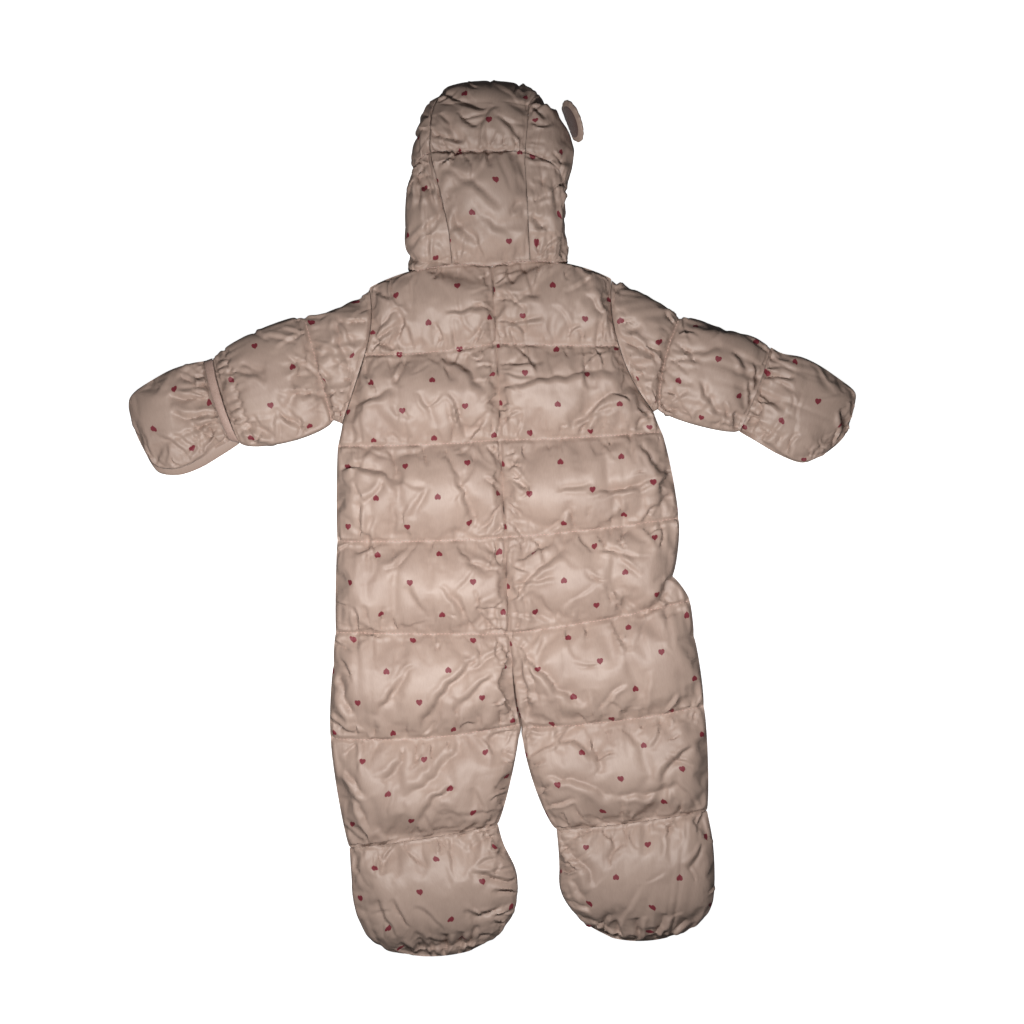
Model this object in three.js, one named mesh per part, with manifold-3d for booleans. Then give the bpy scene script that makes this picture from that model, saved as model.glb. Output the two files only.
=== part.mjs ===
// A quilted baby snowsuit, laid flat on its front, seen from its back.
// Millimetres, +Z up, the floor at Z = 0, the hood towards +Y and the feet towards -Y.
// Left and right are the left and right of the view from above, -X and +X.
//
// The suit is two padded layers that lie on each other and meet at the height LAYER_HEIGHT. Each cut piece
// is a wall between a plain inner face and a quilted outer face. A table gives each piece a row for each
// quilting seam or change of outline, and the points of its surface are worked out from those rows.
import * as THREE from "three";
import { mergeVertices } from "three/addons/utils/BufferGeometryUtils.js";
import Module from "manifold-3d";

// Walls and seams
const SEAM_GAP = 0.3; // space between two pieces at a seam
const LAYER_HEIGHT = 15; // height of the faces where the upper and the lower layer meet
const EDGE_WALL = 2.6; // wall where a piece runs out to a thin edge
const FREE_EDGE_RISE = 42; // width over which a piece swells up from a thin outer edge
const SEAM_EDGE_RISE = 14; // the same beside a seam to another padded piece
const PUFF = 0.5; // exponent of the arch of a quilted channel, lower is fuller
const LOWER_FILL = 22; // fill of the lower layer before the floor flattens it
const STEP = 13; // aim for the spacing of sections along a piece
const SLACK = 0.3; // bow of an edge or a section that the tables give as straight
const FREE_SWELL = 0.6; // exponent of the bow of an edge that swells out
const CALM_EDGE = 12; // width at an edge over which folds and gathers die out
const UNEVEN = 0.02; // how far the gathers stray from an even spacing

// Body and sleeves
const UNDERARM_ROW = 2; // row of the body panels at the underarm
const SLEEVE_GAP = 0.5; // room between the body and the first row of a sleeve
const SLEEVE_STEP = 11; // spacing of the sections of a sleeve
const SLIT_SHARE = 0.95; // how far the flat slit inside a sleeve reaches across it
const SLEEVE_FILL = 15; // fill at which the floor starts to flatten the lower side of a sleeve

// Binding at the left wrist
const BAND_EDGES = [0.08, 0.94]; // its edges, as shares of the way from the sleeve to the flap
const BAND_CROWN = 12;
const BAND_ROUND = 2; // how far its middle stands over its edges

// Hood
const HOOD_WALL = 9; // padded wall of the hood
const HOOD_LIP = 5; // its wall at the face opening
const HOOD_PUFF = 6; // how far a channel of the hood swells past its seams
const HOOD_CROWN_REACH = 11; // how far the centre panel bows out at the crown
const HOOD_ROUND = 0.8; // exponent of its sections, 1 is an ellipse
const HOOD_QUILT_ROW = 3.6; // row of the seam across the hood
const HOOD_DROP = { left: 0.9, right: 1.5 }; // how many rows that seam drops towards the rim
const HOOD_LOWER = 6; // sections below that seam
const HOOD_UPPER = 5; // sections above it
const HOOD_ROWS = 7; // index of the last row of the hood's tables
const HOOD_BASE = 3; // how far the centre panel stands over the seams beside it
const HOOD_SIDE_PUFF = 0.5; // share of HOOD_PUFF on the side panels
const HOOD_PUFF_END = 1.15; // the puff of a side panel ends before the lip

// Ears
const EAR_RADIUS = 20.5;
const EAR_THICK = 5.5;
const EAR_ROUND = 3;
const EAR_SWEEP = 1.44 * Math.PI; // turn of the round part of its outline
const EAR_MIDDLE = 0.62; // height of its middle over its seat, in radii
const FLAT_EAR_THICK = 7;
const FLAT_EAR_TURN = 0.6;
const EAR_RIGHT_SEAT = new THREE.Vector3(72.5, 375, 27);
const EAR_LEFT_SEAT = new THREE.Vector3(-46, 377, 0.2 + FLAT_EAR_THICK / 2);
const EAR_OUT = new THREE.Vector3(0.16, 0.04, 0.99).normalize(); // the way that the right ear stands out
const EAR_ALONG = new THREE.Vector3(-0.38, 0.92, 0).projectOnPlane(EAR_OUT).normalize();

// Front zip, in a groove of the underside
const ZIP_TOP = [2, 214];
const ZIP_END = [14.4, -60];
const ZIP_HALF = 5; // half the width of the groove at its top
const TAPE_WIDTH = 9.4;
const TAPE_THICK = 1.2;
const TAPE_SHORT = 28; // how far the tape ends before the groove does
const COIL_WIDTH = 4.4;
const COIL_THICK = 1.6;
const SLIDER_LENGTH = 12;
const SLIDER_WIDTH = 7.6;
const PULL_LENGTH = 26;
const PULL_WIDTH = 7;
const PULL_THICK = 1.2;
const PULL_WAIST = 0.72; // its narrowest width, as a share of PULL_WIDTH
const PULL_WAIST_AT = 0.55; // where that is, as a share of PULL_LENGTH
const PULL_REST = THREE.MathUtils.degToRad(15.5);
const WINDOW_WIDE = 3.4; // the window by which the pull hangs on the arch
const WINDOW_LONG = 5;
const EYE_RIM = 1.2;
const SLIDER_BELOW_TOP = 10;
const ZIP_FADE = 12; // length over which the groove closes at its end
const ZIP_PAST = 20; // how far past its end the front panels still follow it

// Heights of the zip: the coil's lower face, the slider's plate below it and the arch that holds the pull
const COIL_BOTTOM = 11;
const PLATE_THICK = 1.4;
const PLATE_TOP = COIL_BOTTOM - SEAM_GAP;
const FLANGE_THICK = 0.9;
const FLANGE_TOP = COIL_BOTTOM + 1.2;
const ARCH_WIDE = 1.6;
const ARCH_BAR = 1.3;
const ARCH_LONG = 8;
const ARCH_HIGH = 3.7;
const ARCH_ROOT = 0.4; // how far the posts of the arch reach into the plate
const PIVOT_HEIGHT = PLATE_TOP - PLATE_THICK - (ARCH_HIGH - ARCH_BAR) / 2;

const CLOTH = { color: 0xb39c8f, roughness: 0.45, metalness: 0 };
const BINDING = { color: 0xb99f94, roughness: 0.6, metalness: 0 };
const EAR_CLOTH = { color: 0x9c7d72, roughness: 0.7, metalness: 0 };
const TAPE_CLOTH = { color: 0xa8897e, roughness: 0.8, metalness: 0 };
const METAL = { color: 0xb8a89c, roughness: 0.3, metalness: 1 };

// Turns rows of numbers into objects with the named columns.
function table(names, rows) {
  const keys = names.split(" ");
  return rows.map((row) => Object.fromEntries(keys.map((key, i) => [key, row[i]])));
}

// One row for each section, from the neck to the ankle, from the shoulder to the wrist and on to the tip.
// ax ay and bx by are the ends of the section, swellA and swellB how far each edge bows out before the next
// row, bow how far the section itself bends towards the next one. fill is the height of the puff, endA and
// endB the share of it at the two edges, and seam the share at a sewn row, 0 where the row isn't sewn.
const COLUMNS = "ax ay bx by swellA swellB bow fill endA endB seam";

const BACK_LEFT = table(COLUMNS, [
  [0, 242, -116.5, 221, 0, -4.2, -9, 19, 0.55, 0.2, 0.5],
  [4.3, 168, -120.4, 157, 0, -0.5, 3, 24, 0.5, 0.55, 0.45],
  [7.5, 99.3, -142, 91.7, 0, 0, 2, 24, 0.5, 0.12, 0],
  [8.5, 76.5, -146.3, 71, 0, 1, 2, 24, 0.5, 0.1, 0.45],
  [12.3, -15.7, -146.8, -19.5, 0, 1, 2, 24, 0.5, 0.1, 0.45],
  [16.1, -107, -148.2, -106, 0, 1, 1, 25, 0.5, 0.1, 0.45],
  [19, -133.5, -150, -136.3, -2, 2, 0, 25, 0.3, 0.1, 0],
  [26.1, -193.3, -153, -206.5, 3, 2.5, 6, 25, 0.1, 0.1, 0.45],
  [5.2, -288.3, -135.4, -310.2, 0, 0, 2, 25, 0.1, 0.1, 0.45],
]);

const BACK_RIGHT = table(COLUMNS, [
  [0, 242, 113.5, 229.4, 0, -3.5, -10, 19, 0.55, 0.2, 0.5],
  [4.3, 168, 120, 166, 0, -4, 1, 24, 0.5, 0.55, 0.45],
  [7.3, 103, 153.4, 103.1, 0, 0, 1, 24, 0.5, 0.12, 0],
  [8.5, 76.5, 160.6, 85, 0, 2.5, 2, 24, 0.5, 0.1, 0.45],
  [12.3, -15.7, 176.7, 2.4, 0, 3, 2, 24, 0.5, 0.1, 0.45],
  [14.8, -76, 171, -53, 0, 2, 1, 25, 0.5, 0.1, 0],
  [16.1, -107, 187.6, -76, 0, 1, 3, 25, 0.5, 0.1, 0.45],
  [19, -133.5, 191.4, -109.7, 1, 2, 0, 25, 0.3, 0.1, 0],
  [29.9, -196.2, 200.9, -176.2, 7, 2.5, 4, 25, 0.1, 0.1, 0.45],
  [61.3, -293.1, 204.2, -275, 0, 0, 2, 25, 0.1, 0.1, 0.45],
]);

const SLEEVE_LEFT = table(COLUMNS, [
  [-142, 91.7, -116.5, 221, 0, -3, 0, 20, 0.1, 0, 0.55],
  [-151.5, 95.5, -179, 195, 10, 6, 0, 21, 0.1, 0, 0.45],
  [-240, 73.6, -265.5, 154.4, 0, 0, 2, 19, 0.12, 0, 0.55],
]);

const SLEEVE_RIGHT = table(COLUMNS, [
  [153.4, 103.1, 113.5, 229.4, 0, 5, 0, 20, 0.1, 0, 0.55],
  [158.2, 105.9, 179.1, 193.3, 5, 6, -5, 21, 0.1, 0, 0.45],
  [235.1, 85, 264.6, 164.8, 0, 0, 2, 20, 0.12, 0, 0.5],
]);

const FLAP_LEFT = table(COLUMNS, [
  [-248.4, 75.5, -273.1, 151.5, 0, 0, 2, 17, 0.12, 0.12, 0.6],
  [-259.8, 69.8, -286.4, 149.2, 0, 0, 0, 17, 0.12, 0.12, 0],
  [-280.7, 56.5, -305.4, 143, 0, 0, 0, 17, 0.12, 0.12, 0],
  [-301.6, 48.9, -324.4, 132.5, 0, 0, 0, 17, 0.12, 0.12, 0],
  [-319.7, 51.8, -338.7, 123, 0, 0, 0, 17, 0.12, 0.12, 0],
  [-329.2, 64.1, -344.4, 115.4, 0, 0, 0, 17, 0.12, 0.12, 0],
  [-336.8, 79.3, -345.3, 106.9, 0, 0, 0.5, 17, 0.12, 0.12, 0.12],
]);

const PALM_LEFT = table(COLUMNS, [
  [-240.6, 73.4, -266, 154.3, 0, 0, 2, LOWER_FILL, 0.12, 0.12, 1],
  [-257.9, 62.2, -286.4, 149.2, 0, 0, 0, LOWER_FILL, 0.12, 0.12, 0],
  [-278.8, 49.9, -305.4, 143, 0, 0, 0, LOWER_FILL, 0.12, 0.12, 0],
  [-300.1, 43.2, -324.4, 132.5, 0, 0, 0, LOWER_FILL, 0.12, 0.12, 0],
  [-319.7, 46.5, -338.7, 123, 0, 0, 0, LOWER_FILL, 0.12, 0.12, 0],
  [-329.2, 62.2, -344.8, 114.5, 0, 0, 0, LOWER_FILL, 0.12, 0.12, 0],
  [-336.8, 78.4, -345.8, 105.9, 0, 0, 0.5, LOWER_FILL, 0.12, 0.12, 0.12],
]);

const FLAP_RIGHT = table(COLUMNS, [
  [235.1, 85, 264.6, 164.8, 0, 0, 2, 19, 0.12, 0.12, 0.5],
  [251.8, 75.5, 276, 158.7, 0, 0, 0, 19, 0.12, 0.12, 0],
  [272.8, 63.2, 294, 155.3, 0, 0, 0, 19, 0.12, 0.12, 0],
  [294, 55.1, 311.1, 147.3, 0, 0, 0, 19, 0.12, 0.12, 0],
  [306.4, 58.4, 329.2, 135, 0, 0, 0, 19, 0.12, 0.12, 0],
  [318.7, 65.1, 343.1, 124.4, 0, 0, 0, 19, 0.12, 0.12, 0],
  [333, 77.4, 345.8, 117.3, 0, 0, 0, 19, 0.12, 0.12, 0],
  [337.7, 87.9, 344.4, 108.8, 0, 0, 0.5, 19, 0.12, 0.12, 0.12],
]);

const BOOTIE_LEFT = table(COLUMNS, [
  [5.2, -288.3, -135.4, -310.2, 0, 0, 2, 27, 0.1, 0.1, 0.42],
  [10.9, -308.3, -133.9, -332, 0, 0, 0, 31, 0.1, 0.1, 0],
  [22.3, -332, -131.6, -355.8, 0, 0, 0, 31, 0.1, 0.1, 0],
  [24.2, -352.9, -126, -376.7, 0, 0, 0, 31, 0.1, 0.1, 0],
  [18.5, -374.8, -115, -395.7, 0, 0, 0, 31, 0.1, 0.1, 0],
  [2, -395.7, -93, -409, 0, 0, 0, 31, 0.1, 0.1, 0],
  [-21.4, -409, -66, -414, 0, 0, 1.5, 31, 0.1, 0.1, 0.1],
]);

const BOOTIE_RIGHT = table(COLUMNS, [
  [61.3, -293.1, 204.2, -275, 0, 0, 2, 27, 0.1, 0.1, 0.42],
  [63.2, -313, 209.5, -303.5, 0, 0, 0, 31, 0.1, 0.1, 0],
  [64.1, -330.1, 211.4, -332, 0, 0, 0, 31, 0.1, 0.1, 0],
  [64.5, -349.1, 210.4, -353.9, 0, 0, 0, 31, 0.1, 0.1, 0],
  [73.5, -367, 204.5, -371.9, 0, 0, 0, 31, 0.1, 0.1, 0],
  [91, -384, 187, -388, 0, 0, 0, 31, 0.1, 0.1, 0],
  [114, -396.5, 163, -397, 0, 0, 2.5, 31, 0.1, 0.1, 0.1],
]);

// The largest folds, as troughs between two points.
const FOLD_COLUMNS = "x0 y0 x1 y1 width depth";
const FOLDS_LEFT = table(FOLD_COLUMNS, [
  [-44, 155, -5, 121, 9, 2.5],
  [-70, 121, -51, 87, 8, 2],
  [-39, 121, -23, 77, 8, 2.5],
  [-143, 56, -86, 32, 9, 2.5],
  [-46, 66, -26, 36, 8, 2.5],
  [-9, -17, 11, -43, 9, 2.5],
  [-9, -126, -67, -199, 8, 2.5],
  [-75, -135, -111, -187, 8, 2],
  [-146, -145, -115, -206, 8, 3],
]);
const FOLDS_RIGHT = table(FOLD_COLUMNS, [
  [75, 87, 133, 128, 9, 3],
  [14, 114, 130, 143, 9, 2],
  [140, 73, 166, 43, 9, 2.5],
  [18, -77, 69, -26, 8, 2],
  [170, -53, 154, -77, 9, 4],
  [27, -118, 88, -174, 9, 3],
]);

// Gathers run from the first or the last row of a piece: their number, depth and reach along the piece.
const GATHER_COLUMNS = "row count depth reach";
const GATHERS = {
  sleeveLeft: table(GATHER_COLUMNS, [[2, 7, 2, 20]]),
  sleeveRight: table(GATHER_COLUMNS, [[2, 6, 1.8, 18]]),
  flapLeft: table(GATHER_COLUMNS, [[0, 8, 2.2, 24]]),
  flapRight: table(GATHER_COLUMNS, [[0, 8, 2.2, 30]]),
  bootieLeft: table(GATHER_COLUMNS, [[6, 6, 3, 38]]),
  bootieRight: table(GATHER_COLUMNS, [[6, 6, 3, 38]]),
};

// Hood, a row for each section from the neck to the crown: the seam beside the centre panel, the outermost
// point of the side and the lip of the face opening.
const HOOD_COLUMNS = "seamX seamY seamZ rimX rimY rimZ lipX lipY lipZ";
const HOOD_LEFT = table(HOOD_COLUMNS, [
  [-37.5, 242, 31, -79, 237, 15, -14, 245.6, -3],
  [-40.4, 271, 46, -81.5, 266.5, 20, -31, 261.7, -3],
  [-47, 302.6, 52, -78.5, 299.7, 23, -36.6, 293, -3],
  [-55.6, 335, 53, -75, 331, 25, -35.6, 323.5, -3],
  [-58, 351, 52, -72.1, 352, 26, -33, 342.5, 7.6],
  [-57.5, 366, 52, -69.3, 370, 27, -31, 356, 7.6],
  [-56.5, 378.6, 50, -60.7, 389, 27, -30, 365.3, 7.6],
  [-53.7, 389, 46, -46.5, 403.3, 27, -30, 373, 7.6],
]);
const HOOD_RIGHT = table(HOOD_COLUMNS, [
  [36, 245, 31, 71.1, 244.6, 15, 14, 245.6, -3],
  [34.7, 271, 46, 67.5, 271, 20, 28, 261.7, -3],
  [33.2, 302.6, 52, 69, 299.7, 23, 31.8, 293, -3],
  [31, 335, 53, 73.5, 331, 25, 31, 323.5, -3],
  [31.8, 351, 52, 75, 350, 26, 29, 342.5, -3],
  [33.2, 366, 52, 70.2, 368, 27, 28, 356, 3],
  [34.2, 378.6, 50, 59.7, 388, 27, 27, 365.3, 7.6],
  [34.7, 389, 46, 43.5, 402.3, 27, 27, 373, 7.6],
]);

const vec = (x, y, z = 0) => new THREE.Vector3(x, y, z);
const mix = THREE.MathUtils.lerp;
const arch = (t) => Math.max(0, 4 * t * (1 - t));
const cosine = (t) => (1 - Math.cos(Math.PI * t)) / 2;

// Evenly spaced stations from 0 to 1, drawn towards both ends by the share pull.
function stations(count, pull = 0.6) {
  return Array.from({ length: count + 1 }, (_, i) => mix(i / count, cosine(i / count), pull));
}

// Quarter-round rise from the share end at an edge to 1 at the width of the rise.
function rise(distance, end) {
  const width = mix(FREE_EDGE_RISE, SEAM_EDGE_RISE, Math.min(1, end / 0.5));
  const t = Math.min(1, distance / width);
  return end + (1 - end) * Math.sqrt(1 - (1 - t) ** 2);
}

// Depth of a trough at (x, y), soft at its sides and ends.
function troughDepth(fold, x, y) {
  const dx = fold.x1 - fold.x0;
  const dy = fold.y1 - fold.y0;
  const along = ((x - fold.x0) * dx + (y - fold.y0) * dy) / (dx * dx + dy * dy);
  const t = THREE.MathUtils.clamp(along, 0, 1);
  const gap = Math.hypot(x - fold.x0 - t * dx, y - fold.y0 - t * dy);
  return fold.depth * Math.exp(-((gap / fold.width) ** 2));
}

// A flat-laid cut piece. u runs across it from edge a to edge b, v counts its rows.
class Piece {
  constructor(rows, { smooth = false, folds = [], gathers = [], firstRow = null } = {}) {
    this.rows = rows;
    this.smooth = smooth;
    this.folds = folds;
    this.gathers = gathers;
    this.firstRow = firstRow; // a curve that takes the place of the first row
    this.last = rows.length - 1;
    this.along = [0];
    for (let i = 0; i < this.last; i++) {
      this.along.push(this.along[i] + this.rowPoint(i, 0.5).distanceTo(this.rowPoint(i + 1, 0.5)));
    }
  }

  rowPoint(i, u) {
    if (i === 0 && this.firstRow) return this.firstRow(u);
    const row = this.rows[i];
    const next = this.rows[i < this.last ? i + 1 : i - 1];
    const point = vec(mix(row.ax, row.bx, u), mix(row.ay, row.by, u));
    const across = vec(row.by - row.ay, row.ax - row.bx).normalize();
    const ahead = vec(next.ax + next.bx - row.ax - row.bx, next.ay + next.by - row.ay - row.by);
    const sign = Math.sign(across.dot(ahead)) * (i < this.last ? 1 : -1);
    return point.addScaledVector(across, sign * (row.bow || SLACK) * arch(u));
  }

  span(v) {
    const i = Math.min(Math.floor(v), this.last - 1);
    return [i, v - i];
  }

  // Outward bow of edge u (0 or 1) between row i and the next one.
  swell(i, f, u) {
    const amount = (u === 0 ? this.rows[i].swellA : this.rows[i].swellB) || -SLACK;
    const from = this.rowPoint(i, u);
    const chord = this.rowPoint(i + 1, u).sub(from);
    const out = vec(chord.y, -chord.x).normalize();
    const middle = this.rowPoint(i, 0.5).sub(from);
    if (out.dot(middle) > 0) out.negate();
    return out.multiplyScalar(amount * arch(f) ** (amount < 0 ? 1 : FREE_SWELL));
  }

  // Place in the plan, without height.
  plan(u, v) {
    const [i, f] = this.span(v);
    const from = this.rowPoint(i, u);
    const to = this.rowPoint(i + 1, u);
    if (this.smooth) {
      const before = i > 0 ? this.rowPoint(i - 1, u) : from.clone().multiplyScalar(2).sub(to);
      const after = i < this.last - 1 ? this.rowPoint(i + 2, u) : to.clone().multiplyScalar(2).sub(from);
      const curve = new THREE.CatmullRomCurve3([before, from, to, after], false, "catmullrom", 0.5);
      return curve.getPoint((1 + f) / 3);
    }
    const point = from.lerp(to, f);
    point.addScaledVector(this.swell(i, f, 0), (1 - u) ** 3);
    return point.addScaledVector(this.swell(i, f, 1), u ** 3);
  }

  alongAt(v) {
    const [i, f] = this.span(v);
    return mix(this.along[i], this.along[i + 1], f);
  }

  // The two sewn rows that v lies between, and how far along the channel it is.
  channel(v) {
    const [i] = this.span(v);
    let start = i;
    let end = i + 1;
    while (start > 0 && !this.rows[start].seam) start--;
    while (end < this.last && !this.rows[end].seam) end++;
    const t = (this.alongAt(v) - this.along[start]) / (this.along[end] - this.along[start]);
    return { start: this.rows[start], end: this.rows[end], t };
  }

  // Height of the outer face over the inner face.
  height(u, v) {
    const [i, f] = this.span(v);
    const row = this.rows[i];
    const next = this.rows[i + 1];
    const { start, end, t } = this.channel(v);
    const width = this.plan(0, v).distanceTo(this.plan(1, v));
    const share = mix(start.seam, end.seam, t);
    const puff = share + (1 - share) * arch(t) ** PUFF;
    const riseA = rise(u * width, mix(row.endA, next.endA, f));
    const riseB = rise((1 - u) * width, mix(row.endB, next.endB, f));
    return mix(start.fill, end.fill, t) * puff * riseA * riseB;
  }

  // How far folds and gathers lower the outer face.
  relief(u, v, point) {
    const width = this.plan(0, v).distanceTo(this.plan(1, v));
    const calm = Math.min(1, (Math.min(u, 1 - u) * width) / CALM_EDGE);
    let depth = 0;
    for (const fold of this.folds) depth += troughDepth(fold, point.x, point.y);
    for (const gather of this.gathers) {
      const away = Math.abs(this.alongAt(v) - this.along[gather.row]);
      const wave = 0.5 - 0.5 * Math.cos(2 * Math.PI * gather.count * (u + UNEVEN * Math.sin(9 * u)));
      depth += gather.depth * wave * Math.exp(-away / gather.reach);
    }
    return depth * calm;
  }

  // Stations along the piece, closer together beside the sewn rows.
  alongStations(step = STEP) {
    const vs = [0];
    for (let i = 0; i < this.last; i++) {
      const count = Math.max(2, Math.round((this.along[i + 1] - this.along[i]) / step));
      const sewn = [i === 0 || this.rows[i].seam, i + 1 === this.last || this.rows[i + 1].seam];
      for (let k = 1; k <= count; k++) {
        const t = k / count;
        let f = t;
        if (sewn[0] && sewn[1]) f = mix(t, cosine(t), 0.8);
        else if (sewn[0]) f = 1 - Math.cos((Math.PI * t) / 2);
        else if (sewn[1]) f = Math.sin((Math.PI * t) / 2);
        vs.push(i + f);
      }
    }
    return vs;
  }
}

// A closed wall from a grid of outer points and a grid of inner points, rows first. A flat inner face is
// filled from its border alone.
function closedWall(outer, inner, flatInside) {
  const nv = outer.length - 1;
  const nu = outer[0].length - 1;
  const columns = nu + 1;
  const offset = columns * (nv + 1);
  const points = [...outer.flat(), ...inner.flat()];
  const at = (v, u) => v * columns + u;
  const faces = [];
  const border = [];
  for (let u = 0; u < nu; u++) border.push(at(0, u));
  for (let v = 0; v < nv; v++) border.push(at(v, nu));
  for (let u = nu; u > 0; u--) border.push(at(nv, u));
  for (let v = nv; v > 0; v--) border.push(at(v, 0));
  for (let v = 0; v < nv; v++) {
    for (let u = 0; u < nu; u++) {
      const [a, b, c, d] = [at(v, u), at(v, u + 1), at(v + 1, u + 1), at(v + 1, u)];
      faces.push([a, b, c], [a, c, d]);
      if (!flatInside) faces.push([offset + a, offset + c, offset + b], [offset + a, offset + d, offset + c]);
    }
  }
  border.forEach((a, k) => {
    const b = border[(k + 1) % border.length];
    faces.push([b, a, offset + a], [b, offset + a, offset + b]);
  });
  if (flatInside) {
    const loop = border.map((k) => new THREE.Vector2(points[offset + k].x, points[offset + k].y));
    const turn = Math.sign(THREE.ShapeUtils.area(loop));
    for (const [i, j, k] of THREE.ShapeUtils.triangulateShape(loop, [])) {
      const same = Math.sign(THREE.ShapeUtils.area([loop[i], loop[j], loop[k]])) === turn;
      const [a, b, c] = same ? [i, k, j] : [i, j, k];
      faces.push([offset + border[a], offset + border[b], offset + border[c]]);
    }
  }
  return closedGeometry(points, faces);
}

// A geometry with its faces pointing out, whichever way round they were listed.
function closedGeometry(points, faces) {
  let volume = 0;
  for (const [a, b, c] of faces) volume += points[a].dot(points[b].clone().cross(points[c]));
  const ordered = volume > 0 ? faces : faces.map(([a, b, c]) => [a, c, b]);
  const place = new Float32Array(ordered.flat().flatMap((k) => points[k].toArray()));
  const geometry = new THREE.BufferGeometry();
  geometry.setAttribute("position", new THREE.BufferAttribute(place, 3));
  geometry.computeVertexNormals();
  return geometry;
}

// The solid of a piece in the upper layer (side 1) or the lower layer (side -1).
function layerSolid(piece, side, us, { trim = null, step = STEP } = {}) {
  const floorReach = LAYER_HEIGHT - SEAM_GAP / 2;
  const outer = [];
  const inner = [];
  for (const v of piece.alongStations(step)) {
    const outerRow = [];
    const innerRow = [];
    for (const u of us) {
      const point = piece.plan(u, v);
      if (trim) trim(point, u, v);
      let height = EDGE_WALL + (1 - EDGE_WALL / LOWER_FILL) * piece.height(u, v);
      if (side > 0) height = Math.max(EDGE_WALL, height - piece.relief(u, v, point));
      else height = Math.min(floorReach, height);
      const base = LAYER_HEIGHT + (side * SEAM_GAP) / 2;
      innerRow.push(vec(point.x, point.y, base));
      outerRow.push(vec(point.x, point.y, base + side * height));
    }
    outer.push(outerRow);
    inner.push(innerRow);
  }
  return closedWall(outer, inner, true);
}

// Moves a point of the first or the last row in from the seam that it shares with a neighbour.
function seamTrim(piece, atStart, atEnd) {
  return (point, u, v) => {
    if (atStart && v === 0) point.add(piece.plan(u, 0.1).sub(piece.plan(u, 0)).setLength(atStart));
    if (atEnd && v === piece.last) {
      point.add(piece.plan(u, v - 0.1).sub(piece.plan(u, v)).setLength(atEnd));
    }
  };
}

// Body panels: the two halves part at the centre seam by moving their edge a off it.
const backLeft = new Piece(BACK_LEFT, { folds: FOLDS_LEFT });
const backRight = new Piece(BACK_RIGHT, { folds: FOLDS_RIGHT });

// The lower layer has the same outline, a lower neckline and no quilting on the face that rests.
function frontRows(rows) {
  return rows.map((row, i) => ({
    ...row,
    fill: LOWER_FILL,
    seam: row.seam ? 1 : 0,
    endA: i <= 4 ? 0.1 : row.endA,
    bow: i === 0 ? 4 : row.bow,
  }));
}
const frontLeft = new Piece(frontRows(BACK_LEFT));
const frontRight = new Piece(frontRows(BACK_RIGHT));

function bodyTrim(piece, side) {
  const ends = seamTrim(piece, 0, SEAM_GAP / 2);
  return (point, u, v) => {
    ends(point, u, v);
    point.x += side * (SEAM_GAP / 2) * (1 - u);
  };
}

// The zip's centre line, and the room that the front panels leave for it.
const zipTilt = Math.atan2(ZIP_END[0] - ZIP_TOP[0], ZIP_TOP[1] - ZIP_END[1]);
function zipX(y) {
  return ZIP_TOP[0] + ((ZIP_TOP[1] - y) * (ZIP_END[0] - ZIP_TOP[0])) / (ZIP_TOP[1] - ZIP_END[1]);
}
function frontTrim(piece, side) {
  const body = bodyTrim(piece, side);
  return (point, u, v) => {
    body(point, u, v);
    const down = THREE.MathUtils.clamp((ZIP_TOP[1] - point.y) / (ZIP_TOP[1] - ZIP_END[1]), 0, 1);
    const open = THREE.MathUtils.clamp((point.y - ZIP_END[1]) / ZIP_FADE, 0, 1);
    const room = ZIP_HALF * open + SLACK * arch(down);
    const edge = zipX(point.y) + side * room;
    const wanted = side > 0 ? Math.max(point.x, edge) : Math.min(point.x, edge);
    if (point.y > ZIP_END[1] - ZIP_PAST) point.x = mix(point.x, wanted, (1 - u) ** 2);
  };
}

// The armhole edge of the body, from the underarm (0) to the shoulder (1), moved out by the seam's gap.
function armhole(body) {
  const out = body.rows[1].bx < 0 ? -1 : 1;
  return (u) => {
    const v = UNDERARM_ROW * (1 - u);
    const point = body.plan(1, v);
    const chord = body.plan(1, Math.min(v + 0.05, UNDERARM_ROW)).sub(body.plan(1, Math.max(v - 0.05, 0)));
    const normal = vec(chord.y, -chord.x).normalize();
    if (normal.x * out < 0) normal.negate();
    return point.addScaledVector(normal, SLEEVE_GAP);
  };
}

// A sleeve is one piece, folded along its upper edge, so its section is a flat C with a slit inside.
function sleeveSolid(piece, count) {
  const half = stations(count, 0.5);
  const outer = [];
  const inner = [];
  const trim = seamTrim(piece, 0, SEAM_GAP / 2);
  for (const v of piece.alongStations(SLEEVE_STEP)) {
    const outerRow = [];
    const innerRow = [];
    const add = (u, side) => {
      const point = piece.plan(u, v);
      trim(point, u, v);
      const slit = piece.plan(u * SLIT_SHARE, v);
      trim(slit, u, v);
      const edge = EDGE_WALL * Math.sqrt(1 - u * u);
      let height = edge + piece.height(u, v) * (side > 0 ? 1 : LOWER_FILL / SLEEVE_FILL);
      if (side > 0) height = Math.max(edge, height - piece.relief(u, v, point));
      else height = Math.min(LAYER_HEIGHT, height);
      const apex = u === 1 ? 0 : 1;
      outerRow.push(vec(point.x, point.y, LAYER_HEIGHT + side * apex * (SEAM_GAP / 2 + height)));
      innerRow.push(vec(slit.x, slit.y, LAYER_HEIGHT + side * apex * (SEAM_GAP / 2)));
    };
    half.forEach((u) => add(u, 1));
    half.slice(0, -1).reverse().forEach((u) => add(u, -1));
    for (const point of outerRow) point.z = Math.max(0, point.z);
    outer.push(outerRow);
    inner.push(innerRow);
  }
  return closedWall(outer, inner, false);
}

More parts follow.
